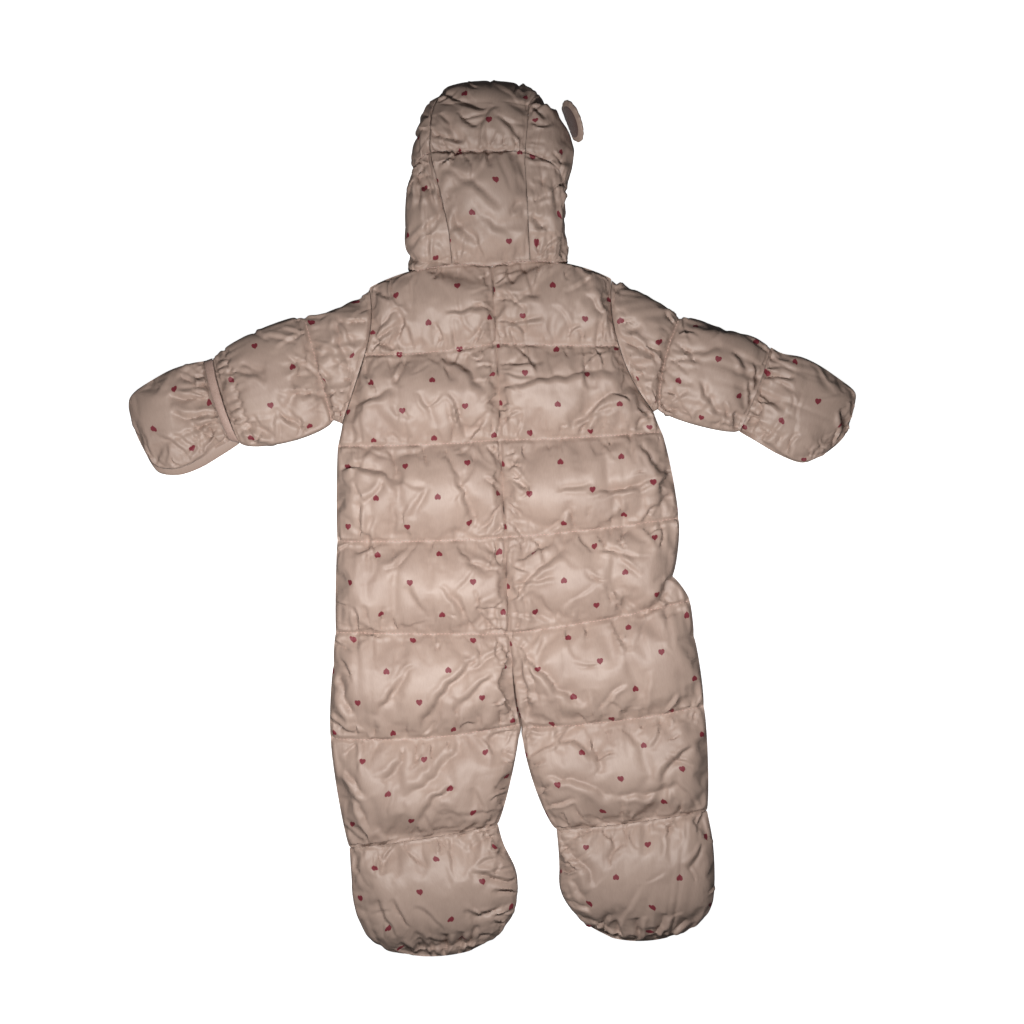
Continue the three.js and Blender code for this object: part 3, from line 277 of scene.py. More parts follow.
@dataclass
class CutPiece:
    """A flat-laid cut piece. u runs across it from edge a to edge b, v counts its rows."""

    rows: list[Row]
    smooth: bool = False
    end_puff: float = PUFF
    first_row: Callable[[np.ndarray], np.ndarray] | None = None
    along: list[float] = field(init=False)

    def __post_init__(self) -> None:
        """Measures the length along the piece at each row."""
        self.along = [0.0]
        half = np.array([0.5])
        for i in range(self.last):
            step = np.linalg.norm(self.row_point(i + 1, half) - self.row_point(i, half))
            self.along.append(self.along[-1] + float(step))

    @property
    def last(self) -> int:
        """Index of the last row."""
        return len(self.rows) - 1

    def row_point(self, i: int, u: np.ndarray) -> np.ndarray:
        """Points of row i.

        Args:
            i: The row.
            u: Shares across it.

        Returns:
            Their places in the plan, a row of x and y for each.
        """
        if i == 0 and self.first_row:
            return self.first_row(u)
        row = self.rows[i]
        other = self.rows[i + 1 if i < self.last else i - 1]
        start = np.array([row.ax, row.ay])
        chord = np.array([row.bx - row.ax, row.by - row.ay])
        across = np.array([chord[1], -chord[0]]) / np.linalg.norm(chord)
        ahead = np.array([other.ax + other.bx - row.ax - row.bx, other.ay + other.by - row.ay - row.by])
        sign = np.sign(across @ ahead) * (1 if i < self.last else -1)
        bow = sign * (row.bow or SLACK) * arch(u)
        return start + u[:, None] * chord + bow[:, None] * across

    def swell(self, i: int, f: float, end: int) -> np.ndarray:
        """How far edge end (0 or 1) bows out between row i and the next one, at the share f."""
        amount = (self.rows[i].swell_b if end else self.rows[i].swell_a) or -SLACK
        start = self.row_point(i, np.array([float(end)]))[0]
        chord = self.row_point(i + 1, np.array([float(end)]))[0] - start
        out = np.array([chord[1], -chord[0]]) / np.linalg.norm(chord)
        if out @ (self.row_point(i, np.array([0.5]))[0] - start) > 0:
            out = -out
        return out * amount * float(arch(f)) ** (1 if amount < 0 else 0.6)

    def plan(self, u: np.ndarray, v: float) -> np.ndarray:
        """Places in the plan of the points at the shares u across, at v along."""
        i = min(int(v), self.last - 1)
        f = v - i
        start = self.row_point(i, u)
        end = self.row_point(i + 1, u)
        if self.smooth:
            before = self.row_point(i - 1, u) if i > 0 else 2 * start - end
            after = self.row_point(i + 2, u) if i < self.last - 1 else 2 * end - start
            slope = (end - before) / 2, (after - start) / 2
            cubic = 2 * f**3 - 3 * f**2
            return (
                (cubic + 1) * start + (f**3 - 2 * f**2 + f) * slope[0]
                - cubic * end + (f**3 - f**2) * slope[1]
            )
        point = mix(start, end, f)
        point = point + self.swell(i, f, 0) * ((1 - u) ** 3)[:, None]
        return point + self.swell(i, f, 1) * (u**3)[:, None]

    def along_at(self, v: float) -> float:
        """Length along the piece at v."""
        i = min(int(v), self.last - 1)
        return mix(self.along[i], self.along[i + 1], v - i)

    def height(self, u: np.ndarray, v: float) -> np.ndarray:
        """Height of the stuffed outer face over the inner face, at the shares u across and v along."""
        i = min(int(v), self.last - 1)
        start, end = i, i + 1
        while start > 0 and not self.rows[start].seam:
            start -= 1
        while end < self.last and not self.rows[end].seam:
            end += 1
        t = (self.along_at(v) - self.along[start]) / (self.along[end] - self.along[start])
        first, final = self.rows[start], self.rows[end]
        ends = self.plan(np.array([0.0, 1.0]), v)
        width = np.linalg.norm(ends[1] - ends[0])
        share = mix(first.seam, final.seam, t)
        puff = share + (1 - share) * float(arch(t)) ** (PUFF if t < 0.5 else self.end_puff)
        rise_a = rise(u * width, mix(self.rows[i].end_a, self.rows[i + 1].end_a, v - i))
        rise_b = rise((1 - u) * width, mix(self.rows[i].end_b, self.rows[i + 1].end_b, v - i))
        return mix(first.fill, final.fill, t) * puff * rise_a * rise_b

    def stations_along(self, step: float) -> tuple[list[float], list[bool]]:
        """Stations along the piece at about the given step, and which of them are sewn rows."""
        places = [0.0]
        sewn = [True]
        for i in range(self.last):
            count = max(2, round((self.along[i + 1] - self.along[i]) / step))
            places += [i + k / count for k in range(1, count + 1)]
            sewn += [False] * (count - 1) + [i + 1 == self.last or self.rows[i + 1].seam > 0]
        return places, sewn


@dataclass
class Wall:
    """A closed padded wall: its points, its faces and what each point needs to know."""

    name: str
    points: np.ndarray
    faces: list[tuple[int, ...]]
    across: np.ndarray
    along: np.ndarray
    loose: np.ndarray
    face: np.ndarray
    cloth: np.ndarray
    rim: np.ndarray


def closed_wall(
    name: str, outer: np.ndarray, inner: np.ndarray, across: np.ndarray, along: np.ndarray,
    loose: np.ndarray, cloth: np.ndarray, flat: bool,
) -> Wall:
    """Closes a grid of outer points and a grid of inner points into a wall.

    Args:
        name: The piece's name.
        outer: Outer points, rows first.
        inner: Inner points in the same order.
        across: Millimetres across the piece at each outer point.
        along: Millimetres along it.
        loose: 1 where the cloth is free to puff up, 0 where it is sewn.
        cloth: Place of each outer point in the uncut cloth.
        flat: Whether the inner face is flat, and so needs its border alone.

    Returns:
        The wall, with its faces pointing out.
    """
    rows, columns = outer.shape[:2]
    index = np.arange(rows * columns).reshape(rows, columns)
    border = np.concatenate([index[0, :-1], index[:-1, -1], index[-1, :0:-1], index[:0:-1, 0]])
    quads = np.stack([index[:-1, :-1], index[:-1, 1:], index[1:, 1:], index[1:, :-1]], -1).reshape(-1, 4)
    faces = [tuple(int(k) for k in quad) for quad in quads]
    total = rows * columns
    if flat:
        place = {int(k): total + n for n, k in enumerate(border)}
        low = inner.reshape(-1, 3)[border]
        keep = border
        for r in range(rows - 1):
            left = [place[int(index[r, 0])], place[int(index[r + 1, 0])]]
            right = [place[int(index[r + 1, -1])], place[int(index[r, -1])]]
            first = [place[int(k)] for k in index[0, 1:-1][::-1]] if r == 0 else []
            final = [place[int(k)] for k in index[-1, 1:-1]] if r == rows - 2 else []
            faces.append(tuple(left + final + right + first))
    else:
        place = {n: total + n for n in range(total)}
        low = inner.reshape(-1, 3)
        keep = np.arange(total)
        faces += [tuple(int(total + k) for k in quad[::-1]) for quad in quads]
    for n, a in enumerate(border):
        b = border[(n + 1) % len(border)]
        faces.append((int(b), int(a), place[int(a)], place[int(b)]))
    points = np.concatenate([outer.reshape(-1, 3), low])
    volume = 0.0
    for face in faces:
        for k in range(1, len(face) - 1):
            a, b, c = points[face[0]], points[face[k]], points[face[k + 1]]
            volume += a @ np.cross(b, c)
    if volume < 0:
        faces = [face[::-1] for face in faces]

    def doubled(values: np.ndarray, hidden: float | None = None) -> np.ndarray:
        flat_values = values.reshape(total, -1)
        below = flat_values[keep]
        if hidden is not None:
            below = np.full_like(below, hidden)
        return np.concatenate([flat_values, below]).squeeze()

    face = doubled(np.ones(across.shape), 0.0)
    return Wall(
        name, points, faces, doubled(across), doubled(along), doubled(loose, 0.0), face, doubled(cloth), border
    )


def lengths(grid: np.ndarray, axis: int) -> np.ndarray:
    """Running length of the lines of a grid of points along the given axis."""
    step = np.linalg.norm(np.diff(grid, axis=axis), axis=2)
    start = [(1, 0), (0, 0)] if axis == 0 else [(0, 0), (1, 0)]
    return np.pad(np.cumsum(step, axis=axis), start)


@dataclass(frozen=True)
class Grain:
    """Where a piece was cut from the printed cloth: the place of its first corner, and how it runs from there.

    way is 1 where the piece runs towards the cloth's +X from its edge a, and -1 where it runs the other way.
    A turned piece was cut with its length across the cloth, and way then goes with its length.
    """

    x: float
    y: float
    way: int
    turned: bool = False


def in_cloth(grid: np.ndarray, grain: Grain) -> np.ndarray:
    """Lays a grid of points, rows first, out on the uncut cloth: the place of each point in it."""
    across = lengths(grid, 1)
    along = lengths(grid, 0).mean(axis=1, keepdims=True) + 0 * across
    if grain.turned:
        return np.stack([grain.x + grain.way * along, grain.y + across], -1)
    return np.stack([grain.x + grain.way * across, grain.y - along], -1)


@dataclass(frozen=True)
class Stuffing:
    """How a piece is blown up: Blender's Cloth between the sewn rows."""

    pressure: float = 4.0
    spare: float = 0.05
    cap: float = 9.0
    frames: int = 20
    stiff: float = 12.0
    bend: float = 0.35


@dataclass
class Pad:
    """A padded piece: its wall, how it is stuffed, and what its cloth does afterwards."""

    wall: Wall
    node: str
    stuffing: Stuffing | None = Stuffing()
    creases: Sequence[Crease] = ()
    seams: Sequence[float] = ()
    joins: Sequence[float] = ()
    gathers: Sequence["Gather"] = ()
    edges: tuple[float, float] = (0.0, 0.0)
    fill: float = 0.6
    floor: float | None = None
    rim_crease: float = 1.0

    def raw_object(self) -> bpy.types.Object:
        """Makes the unstuffed object, with what each point knows as attributes."""
        mesh = bpy.data.meshes.new(self.wall.name)
        mesh.from_pydata((self.wall.points * MM).tolist(), [], self.wall.faces)
        for name, values in (
            ("across", self.wall.across), ("along", self.wall.along), ("loose", self.wall.loose),
            ("face", self.wall.face), ("inside", self.inside()),
        ):
            mesh.attributes.new(name, "FLOAT", "POINT").data.foreach_set("value", values.astype(np.float32))
        spots = np.zeros((len(self.wall.points), 3), dtype=np.float32)
        spots[:, :2] = self.wall.cloth
        mesh.attributes.new("cloth", "FLOAT_VECTOR", "POINT").data.foreach_set("vector", spots.ravel())
        ends = np.empty(len(mesh.edges) * 2, dtype=int)
        mesh.edges.foreach_get("vertices", ends)
        sharp = np.isin(ends.reshape(-1, 2), self.wall.rim).all(axis=1).astype(np.float32)
        mesh.attributes.new("crease_edge", "FLOAT", "EDGE").data.foreach_set("value", sharp * self.rim_crease)
        piece = bpy.data.objects.new(self.wall.name + "_cloth", mesh)
        bpy.context.scene.collection.objects.link(piece)
        return piece

    def inside(self) -> np.ndarray:
        """1 on the outer face apart from its rim, where puckers and creases may be pressed, else 0."""
        inside = self.wall.face.copy()
        inside[self.wall.rim] = 0
        return inside

    def stuff(self, piece: bpy.types.Object) -> None:
        """Adds the Cloth that blows the piece up."""
        sewn = piece.vertex_groups.new(name="sewn")
        held = np.flatnonzero(self.wall.loose < 0.5)
        sewn.add([int(k) for k in held], 1.0, "REPLACE")
        cloth = piece.modifiers.new("Stuffing", "CLOTH")
        settings = cloth.settings
        settings.vertex_group_mass = "sewn"
        settings.quality = 6
        settings.mass = 0.2
        settings.tension_stiffness = self.stuffing.stiff
        settings.compression_stiffness = self.stuffing.stiff
        settings.shear_stiffness = self.stuffing.stiff / 3
        settings.bending_stiffness = self.stuffing.bend
        settings.tension_damping = 8
        settings.compression_damping = 8
        settings.air_damping = 2
        settings.use_pressure = True
        settings.uniform_pressure_force = self.stuffing.pressure
        settings.shrink_min = -self.stuffing.spare
        settings.effector_weights.gravity = 0
        cloth.collision_settings.use_collision = False
        cloth.point_cache.frame_start = 1
        cloth.point_cache.frame_end = self.stuffing.frames

    def settle(self, piece: bpy.types.Object, shaped: np.ndarray) -> None:
        """Takes the stuffed shape over, with no point moved further than the cap."""
        move = shaped - self.wall.points
        size = np.maximum(1e-9, np.linalg.norm(move, axis=1, keepdims=True))
        move = move * np.minimum(1.0, self.stuffing.cap / size) * self.wall.loose[:, None]
        points = self.wall.points + move
        if self.floor is not None:
            points[:, 2] = np.maximum(points[:, 2], np.minimum(self.wall.points[:, 2], self.floor))
        piece.modifiers.clear()
        piece.data.vertices.foreach_set("co", (points * MM).ravel())
        piece.data.update()


def blow_up(pads: Sequence[tuple[Pad, bpy.types.Object]]) -> None:
    """Blows all the pads up side by side, then leaves them with no Cloth."""
    scene = bpy.context.scene
    for pad, piece in pads:
        pad.stuff(piece)
    for step in range(1, Stuffing().frames + 1):
        scene.frame_set(step)
    graph = bpy.context.evaluated_depsgraph_get()
    for pad, piece in pads:
        mesh = piece.evaluated_get(graph).data
        shaped = np.empty(len(mesh.vertices) * 3)
        mesh.vertices.foreach_get("co", shaped)
        pad.settle(piece, shaped.reshape(-1, 3) / MM)
    scene.frame_set(1)


def dense(piece: bpy.types.Object) -> None:
    """Takes one subdivision of the piece over into its mesh."""
    finer = piece.modifiers.new("Finer", "SUBSURF")
    finer.levels = 1
    finer.render_levels = 1
    graph = bpy.context.evaluated_depsgraph_get()
    mesh = bpy.data.meshes.new_from_object(piece.evaluated_get(graph))
    old = piece.data
    piece.modifiers.clear()
    piece.data = mesh
    bpy.data.meshes.remove(old)
    mesh.name = piece.name


def read(mesh: bpy.types.Mesh, name: str, width: int = 1) -> np.ndarray:
    """Reads what each point knows under the given name."""
    values = np.empty(len(mesh.vertices) * width, dtype=np.float32)
    mesh.attributes[name].data.foreach_get("vector" if width > 1 else "value", values)
    return values.reshape(-1, width).squeeze().astype(float)


@dataclass(frozen=True)
class Puckers:
    """Small puckers that run off a sewn line."""

    spacing: float = 12.0
    reach: float = 13.0
    depth: float = 1.5
    groove: float = 0.8
    groove_width: float = 1.8

    def depth_at(self, lengthwise: np.ndarray, away: np.ndarray, seed: int) -> np.ndarray:
        """Depth of the puckers.

        Args:
            lengthwise: Millimetres along the sewn line.
            away: Signed millimetres from it.
            seed: Picks their places.

        Returns:
            How far they lower each point.
        """
        total = np.zeros_like(away)
        for part, sign in ((0, 1), (1, -1)):
            place = lengthwise / self.spacing + 0.45 * wobble(lengthwise / 31, seed + part)
            place = place + 0.012 * np.abs(away) * wobble(lengthwise / 43, seed + 7 + part)
            wave = (0.5 + 0.5 * np.cos(2 * np.pi * place)) ** 2
            strength = np.clip(0.6 + 0.55 * wobble(lengthwise / 19, seed + 2 + part), 0.05, 1.3)
            reach = self.reach * np.clip(1 + 0.6 * wobble(lengthwise / 15, seed + 4 + part), 0.35, 2.2)
            near = np.exp(-np.abs(away) / reach) * (1 - 0.6 * np.exp(-((away / 2.2) ** 2)))
            total += np.where(sign * away >= 0, self.depth * wave * strength * near, 0)
        return total + self.groove * np.exp(-((away / self.groove_width) ** 2))


def crease_depth(crease: Crease, x: np.ndarray, y: np.ndarray) -> np.ndarray:
    """How far a crease lowers the points at x and y; its ridge raises them."""
    dx, dy = crease.x1 - crease.x0, crease.y1 - crease.y0
    size = math.hypot(dx, dy)
    t = ((x - crease.x0) * dx + (y - crease.y0) * dy) / size**2
    gap = ((y - crease.y0) * dx - (x - crease.x0) * dy) / size
    inside = np.clip(t, 0, 1)
    seed = int(abs(13 * crease.x0 + 7 * crease.y1))
    gap = gap - crease.bend * arch(inside) - 0.2 * crease.width * wobble(t * size / 17, seed)
    width = crease.width * mix(0.45, 1.0, inside)
    fade = np.sqrt(arch(inside)) * np.exp(-((np.abs(t - inside) * size / crease.width) ** 2))
    trough = np.exp(-np.abs(gap / (width * np.where(gap < 0, 0.42, 1.05))) ** 1.3)
    ridge = np.exp(-(((gap + 1.1 * width) / (0.65 * width)) ** 2))
    return crease.depth * fade * (trough - 0.45 * ridge)


@dataclass(frozen=True)
class Folds:
    """The small folds that the sewn lines draw into a puff, and a few that lie free on it."""

    spacing: float = 15.0
    shortest: float = 12.0
    longest: float = 46.0
    narrow: float = 2.0
    wide: float = 4.8
    shallow: float = 0.7
    deep: float = 3.0
    lean: float = 0.5
    free_area: float = 1500.0

    def fold(self, spot: np.ndarray, way: np.ndarray, draw: np.random.Generator) -> Crease:
        """One fold from a spot, about towards way."""
        turn = draw.normal(0, self.lean)
        turned = np.array([
            way[0] * math.cos(turn) - way[1] * math.sin(turn), way[0] * math.sin(turn) + way[1] * math.cos(turn),
        ])
        size = draw.uniform(0, 1) ** 1.6
        end = spot + turned * mix(self.shortest, self.longest, size)
        return Crease(
            *spot, *end, mix(self.narrow, self.wide, size), mix(self.shallow, self.deep, draw.uniform(0, 1) ** 1.5),
            draw.normal(0, 2.5),
        )

    def off_line(self, line: np.ndarray, way: np.ndarray, draw: np.random.Generator) -> list[Crease]:
        """Folds that run off a line of the plan, about towards way."""
        gone = np.concatenate([[0.0], np.cumsum(np.linalg.norm(np.diff(line, axis=0), axis=1))])
        made = []
        place = draw.uniform(0, self.spacing)
        while place < gone[-1]:
            spot = np.array([np.interp(place, gone, line[:, c]) for c in (0, 1)])
            made.append(self.fold(spot + way * 1.5, way, draw))
            place += self.spacing * draw.uniform(0.35, 1.65)
        return made

    def lay(self, pad: "Pad", seed: int) -> list[Crease]:
        """Lays the folds of a pad, off its sewn rows and its sewn edge and then free on it."""
        draw = np.random.default_rng(seed)
        wall = pad.wall
        outer = wall.face > 0.5
        plan = wall.points[outer, :2]
        along, across = wall.along[outer], wall.across[outer]
        around = np.column_stack([plan, np.ones(len(plan))])
        heading = np.linalg.lstsq(around, along, rcond=None)[0][:2]
        heading /= np.linalg.norm(heading)
        made = []
        for seam in (*pad.seams, *pad.joins):
            row = np.abs(along - seam) < 0.05
            line = plan[row][np.argsort(across[row])]
            for sign in (1, -1):
                if len(line) > 2 and along.min() < seam + sign * 5 < along.max():
                    made += self.off_line(line, heading * sign, draw)
        for edge in pad.edges:
            column = np.abs(across - edge) < 0.05
            if edge >= 0 and column.sum() > 2:
                line = plan[column][np.argsort(along[column])]
                inward = plan.mean(axis=0) - line.mean(axis=0)
                inward -= heading * (inward @ heading)
                made += self.off_line(line, inward / np.linalg.norm(inward), draw)
        area = np.ptp(plan @ heading) * np.ptp(plan @ np.array([heading[1], -heading[0]]))
        for _ in range(int(area / self.free_area)):
            angle = draw.uniform(0, math.pi)
            spot = plan[draw.integers(len(plan))]
            made.append(self.fold(spot, np.array([math.cos(angle), math.sin(angle)]), draw))
        return made


@dataclass(frozen=True)
class Crumple:
    """The small soft crumples all over the stuffed cloth."""

    size: float = 21.0
    depth: float = 0.3
    stretch: float = 2.2

    def depth_at(self, cloth: np.ndarray, seed: int) -> np.ndarray:
        """How far the crumples lower the points at the given places in the cloth."""
        draw = np.random.default_rng(seed)
        total = np.zeros(len(cloth))
        for k in range(9):
            angle = draw.uniform(0, math.pi)
            size = self.size * draw.uniform(0.6, 1.7)
            ahead = cloth[:, 0] * math.cos(angle) + cloth[:, 1] * math.sin(angle)
            beside = cloth[:, 1] * math.cos(angle) - cloth[:, 0] * math.sin(angle)
            bent = beside / size + 0.8 * wobble(ahead / (size * self.stretch), seed + 11 * k, 2)
            patch = np.clip(wobble(ahead / 38, seed + 5 * k, 2) * wobble(beside / 33, seed + 3 * k, 2), 0, 1)
            total += patch * (1 - np.abs(np.sin(math.pi * bent))) ** 1.7
        return self.depth * total


SEAM_PUCKERS = Puckers(spacing=15, reach=15, depth=2.4, groove=0.0)
FINE_PUCKERS = Puckers(spacing=6.4, reach=4.6, depth=1.6, groove=1.7, groove_width=1.6)
EDGE_PUCKERS = Puckers(spacing=8.5, reach=7, depth=0.9, groove=0.0)
SHARP_EDGE = math.radians(62)


def press(pad: Pad, piece: bpy.types.Object, folds: Folds, crumple: Crumple, seed: int) -> None:
    """Presses puckers, folds and creases into the stuffed cloth.

    Args:
        pad: The piece's pad.
        piece: Its stuffed object.
        folds: The small folds off its sewn lines.
        crumple: What goes all over.
        seed: Picks their places.
    """
    mesh = piece.data
    points = np.empty(len(mesh.vertices) * 3)
    mesh.vertices.foreach_get("co", points)
    points = points.reshape(-1, 3) / MM
    normals = np.empty(len(mesh.vertices) * 3)
    mesh.vertex_normals.foreach_get("vector", normals)
    normals = normals.reshape(-1, 3)
    inside, across, along = (read(mesh, name) for name in ("inside", "across", "along"))
    cloth = read(mesh, "cloth", 3)
    free = np.clip(inside * 2, 0, 1)
    depth = crumple.depth_at(cloth, seed)
    for n, seam in enumerate((*pad.seams, *pad.joins)):
        for k, puckers in enumerate((SEAM_PUCKERS, FINE_PUCKERS)):
            depth += puckers.depth_at(across, along - seam, seed + 20 * n + 7 * k)
    for n, edge in enumerate(pad.edges):
        if edge >= 0:
            depth += EDGE_PUCKERS.depth_at(along, across - edge, seed + 300 + 20 * n)
    for n, gather in enumerate(pad.gathers):
        depth += gather.depth_at(points[:, 0], points[:, 1], seed + 400 + 20 * n)
    for crease in (*pad.creases, *folds.lay(pad, seed)):
        room = 3 * crease.width + abs(crease.bend)
        near = np.flatnonzero(
            (points[:, 0] > min(crease.x0, crease.x1) - room) & (points[:, 0] < max(crease.x0, crease.x1) + room)
            & (points[:, 1] > min(crease.y0, crease.y1) - room) & (points[:, 1] < max(crease.y0, crease.y1) + room)
        )
        depth[near] += crease_depth(crease, points[near, 0], points[near, 1])
    moved = points - normals * (depth * free)[:, None]
    if pad.floor is not None:
        moved[:, 2] = np.maximum(moved[:, 2], np.minimum(points[:, 2], pad.floor))
    moved[:, 2] = np.maximum(0.0, moved[:, 2])
    mesh.vertices.foreach_set("co", (moved * MM).ravel())
    mesh.polygons.foreach_set("use_smooth", [True] * len(mesh.polygons))
    mesh.set_sharp_from_angle(angle=SHARP_EDGE)
    mesh.update()


def layer_wall(
    name: str, piece: CutPiece, side: Side, grain: Grain,
    step: float = 3.0, trim: Callable[[np.ndarray, np.ndarray, float], np.ndarray] | None = None,
    slack: float = 1.0,
) -> Wall:
    """The wall of a flat-laid piece.

    Args:
        name: The piece's name.
        piece: Its cut.
        side: The layer that it is in.
        grain: Where it was cut from the cloth.
        step: Size of the grid.
        trim: Moves the points of a row off its neighbours.
        slack: Share of the puffs' height that the wall has before it is stuffed.

    Returns:
        The wall.
    """
    ends = piece.row_point(1, np.array([0.0, 1.0]))
    us = stations(max(8, round(np.linalg.norm(ends[1] - ends[0]) / step)), 0.25)
    vs, sewn = piece.stations_along(step)
    base = LAYER_HEIGHT + side.value * SEAM_GAP / 2
    outer = np.zeros((len(vs), len(us), 3))
    inner = np.zeros_like(outer)
    reach = LAYER_HEIGHT - SEAM_GAP / 2
    for r, v in enumerate(vs):
        plan = piece.plan(us, v)
        if trim:
            plan = trim(plan, us, v)
        height = EDGE_WALL + (1 - EDGE_WALL / LOWER_FILL) * piece.height(us, v)
        if side is Side.UPPER:
            height = EDGE_WALL + slack * (height - EDGE_WALL)
        else:
            height = np.minimum(reach, height)
        inner[r] = np.column_stack([plan, np.full(len(us), base)])
        outer[r] = np.column_stack([plan, base + side.value * height])
    across = lengths(outer, 1)
    along = np.repeat(np.array([piece.along_at(v) for v in vs])[:, None], len(us), 1)
    loose = np.ones(across.shape)
    loose[np.array(sewn)] = 0
    loose[:, [0, -1]] = 0
    cloth = in_cloth(outer, grain)
    return closed_wall(name, outer, inner, across, along, loose, cloth, flat=True)


def seam_lines(piece: CutPiece, ends: bool = False) -> list[float]:
    """Lengths along the piece of its sewn rows, with its first and last one if ends is true."""
    rows = range(len(piece.rows)) if ends else range(1, piece.last)
    return [piece.along[i] for i in rows if piece.rows[i].seam]


class Wire:
    """A socket of a material's node, for use in sums."""

    def __init__(self, dye: "Dye", socket: bpy.types.NodeSocket) -> None:
        """Wraps a socket of the given dye."""
        self.dye = dye
        self.socket = socket

    def __add__(self, other: "Wire | float") -> "Wire":
        """Adds."""
        return self.dye.maths("ADD", self, other)

    def __sub__(self, other: "Wire | float") -> "Wire":
        """Subtracts."""
        return self.dye.maths("SUBTRACT", self, other)

    def __mul__(self, other: "Wire | float") -> "Wire":
        """Multiplies."""
        return self.dye.maths("MULTIPLY", self, other)

    def __truediv__(self, other: "Wire | float") -> "Wire":
        """Divides."""
        return self.dye.maths("DIVIDE", self, other)

    def __pow__(self, other: "Wire | float") -> "Wire":
        """Raises to a power."""
        return self.dye.maths("POWER", self, other)

    def __rsub__(self, other: float) -> "Wire":
        """Subtracts from a number."""
        return self.dye.maths("SUBTRACT", other, self)

    __radd__ = __add__
    __rmul__ = __mul__


class Dye:
    """The node tree of one finish."""

    def __init__(self, name: str) -> None:
        """Starts an empty material of the given name."""
        self.material = bpy.data.materials.new(name)
        self.material.use_nodes = True
        self.tree = self.material.node_tree
        self.tree.nodes.clear()

    def node(self, kind: str, settings: dict, sockets: dict, out: str | int = 0) -> Wire:
        """Adds a node.

        Args:
            kind: Its type, without the leading ShaderNode.
            settings: Its own settings, set first; stops are a ramp's.
            sockets: Values or wires of its inputs, by name or number.
            out: The output that is wanted.

        Returns:
            That output.
        """
        made = self.tree.nodes.new("ShaderNode" + kind)
        for key, value in settings.items():
            if key == "stops":
                while len(made.color_ramp.elements) < len(value):
                    made.color_ramp.elements.new(0.5)
                for element, (place, color) in zip(made.color_ramp.elements, value):
                    element.position = place
                    element.color = (*color, 1)
            else:
                setattr(made, key, value)
        for key, value in sockets.items():
            if isinstance(value, Wire):
                self.tree.links.new(value.socket, made.inputs[key])
            else:
                made.inputs[key].default_value = value
        return Wire(self, made.outputs[out])

    def maths(self, operation: str, a: Wire | float, b: Wire | float = 0.0) -> Wire:
        """Adds a Math node."""
        return self.node("Math", {"operation": operation}, {0: a, 1: b})

    def smooth(self, value: Wire, low: float, high: float) -> Wire:
        """Eases a value from 0 at low to 1 at high."""
        sockets = {"Value": value, "From Min": low, "From Max": high}
        return self.node("MapRange", {"interpolation_type": "SMOOTHSTEP"}, sockets)

    def blend(self, share: Wire | float, first: Wire | tuple, second: Wire | tuple) -> Wire:
        """Mixes two colours."""
        made = self.node("Mix", {"data_type": "RGBA"}, {"Factor": share}, 2)
        for key, value in (("A", first), ("B", second)):
            socket = next(s for s in made.socket.node.inputs if s.name == key and s.type == "RGBA")
            if isinstance(value, Wire):
                self.tree.links.new(value.socket, socket)
            else:
                socket.default_value = (*value, 1)
        return made

    def noise(self, place: Wire, scale: float, detail: float = 3.0, rough: float = 0.5) -> Wire:
        """Adds noise over the given place."""
        sockets = {"Vector": place, "Scale": scale, "Detail": detail, "Roughness": rough}
        return self.node("TexNoise", {}, sockets)

    def bump(self, height: Wire, strength: float, distance: float, below: Wire | None = None) -> Wire:
        """Adds a Bump over an earlier one."""
        sockets = {"Height": height, "Strength": strength, "Distance": distance}
        if below:
            sockets["Normal"] = below
        return self.node("Bump", {}, sockets)

    def surface(self, **sockets: Wire | float | tuple) -> bpy.types.Material:
        """Ends the tree in a Principled shader with the given sockets, _ standing for a space."""
        named = {key.replace("_", " "): value for key, value in sockets.items()}
        shader = self.node("BsdfPrincipled", {}, named)
        self.node_end(shader)
        return self.material

    def node_end(self, shader: Wire) -> None:
        """Links a shader to the material's output."""
        end = self.tree.nodes.new("ShaderNodeOutputMaterial")
        self.tree.links.new(shader.socket, end.inputs["Surface"])


def linear(red: int, green: int, blue: int) -> tuple[float, float, float]:
    """Turns a colour of 0 to 255 as seen on a screen into linear light."""
    parts = (c / 255 for c in (red, green, blue))
    return tuple(c / 12.92 if c <= 0.04045 else ((c + 0.055) / 1.055) ** 2.4 for c in parts)


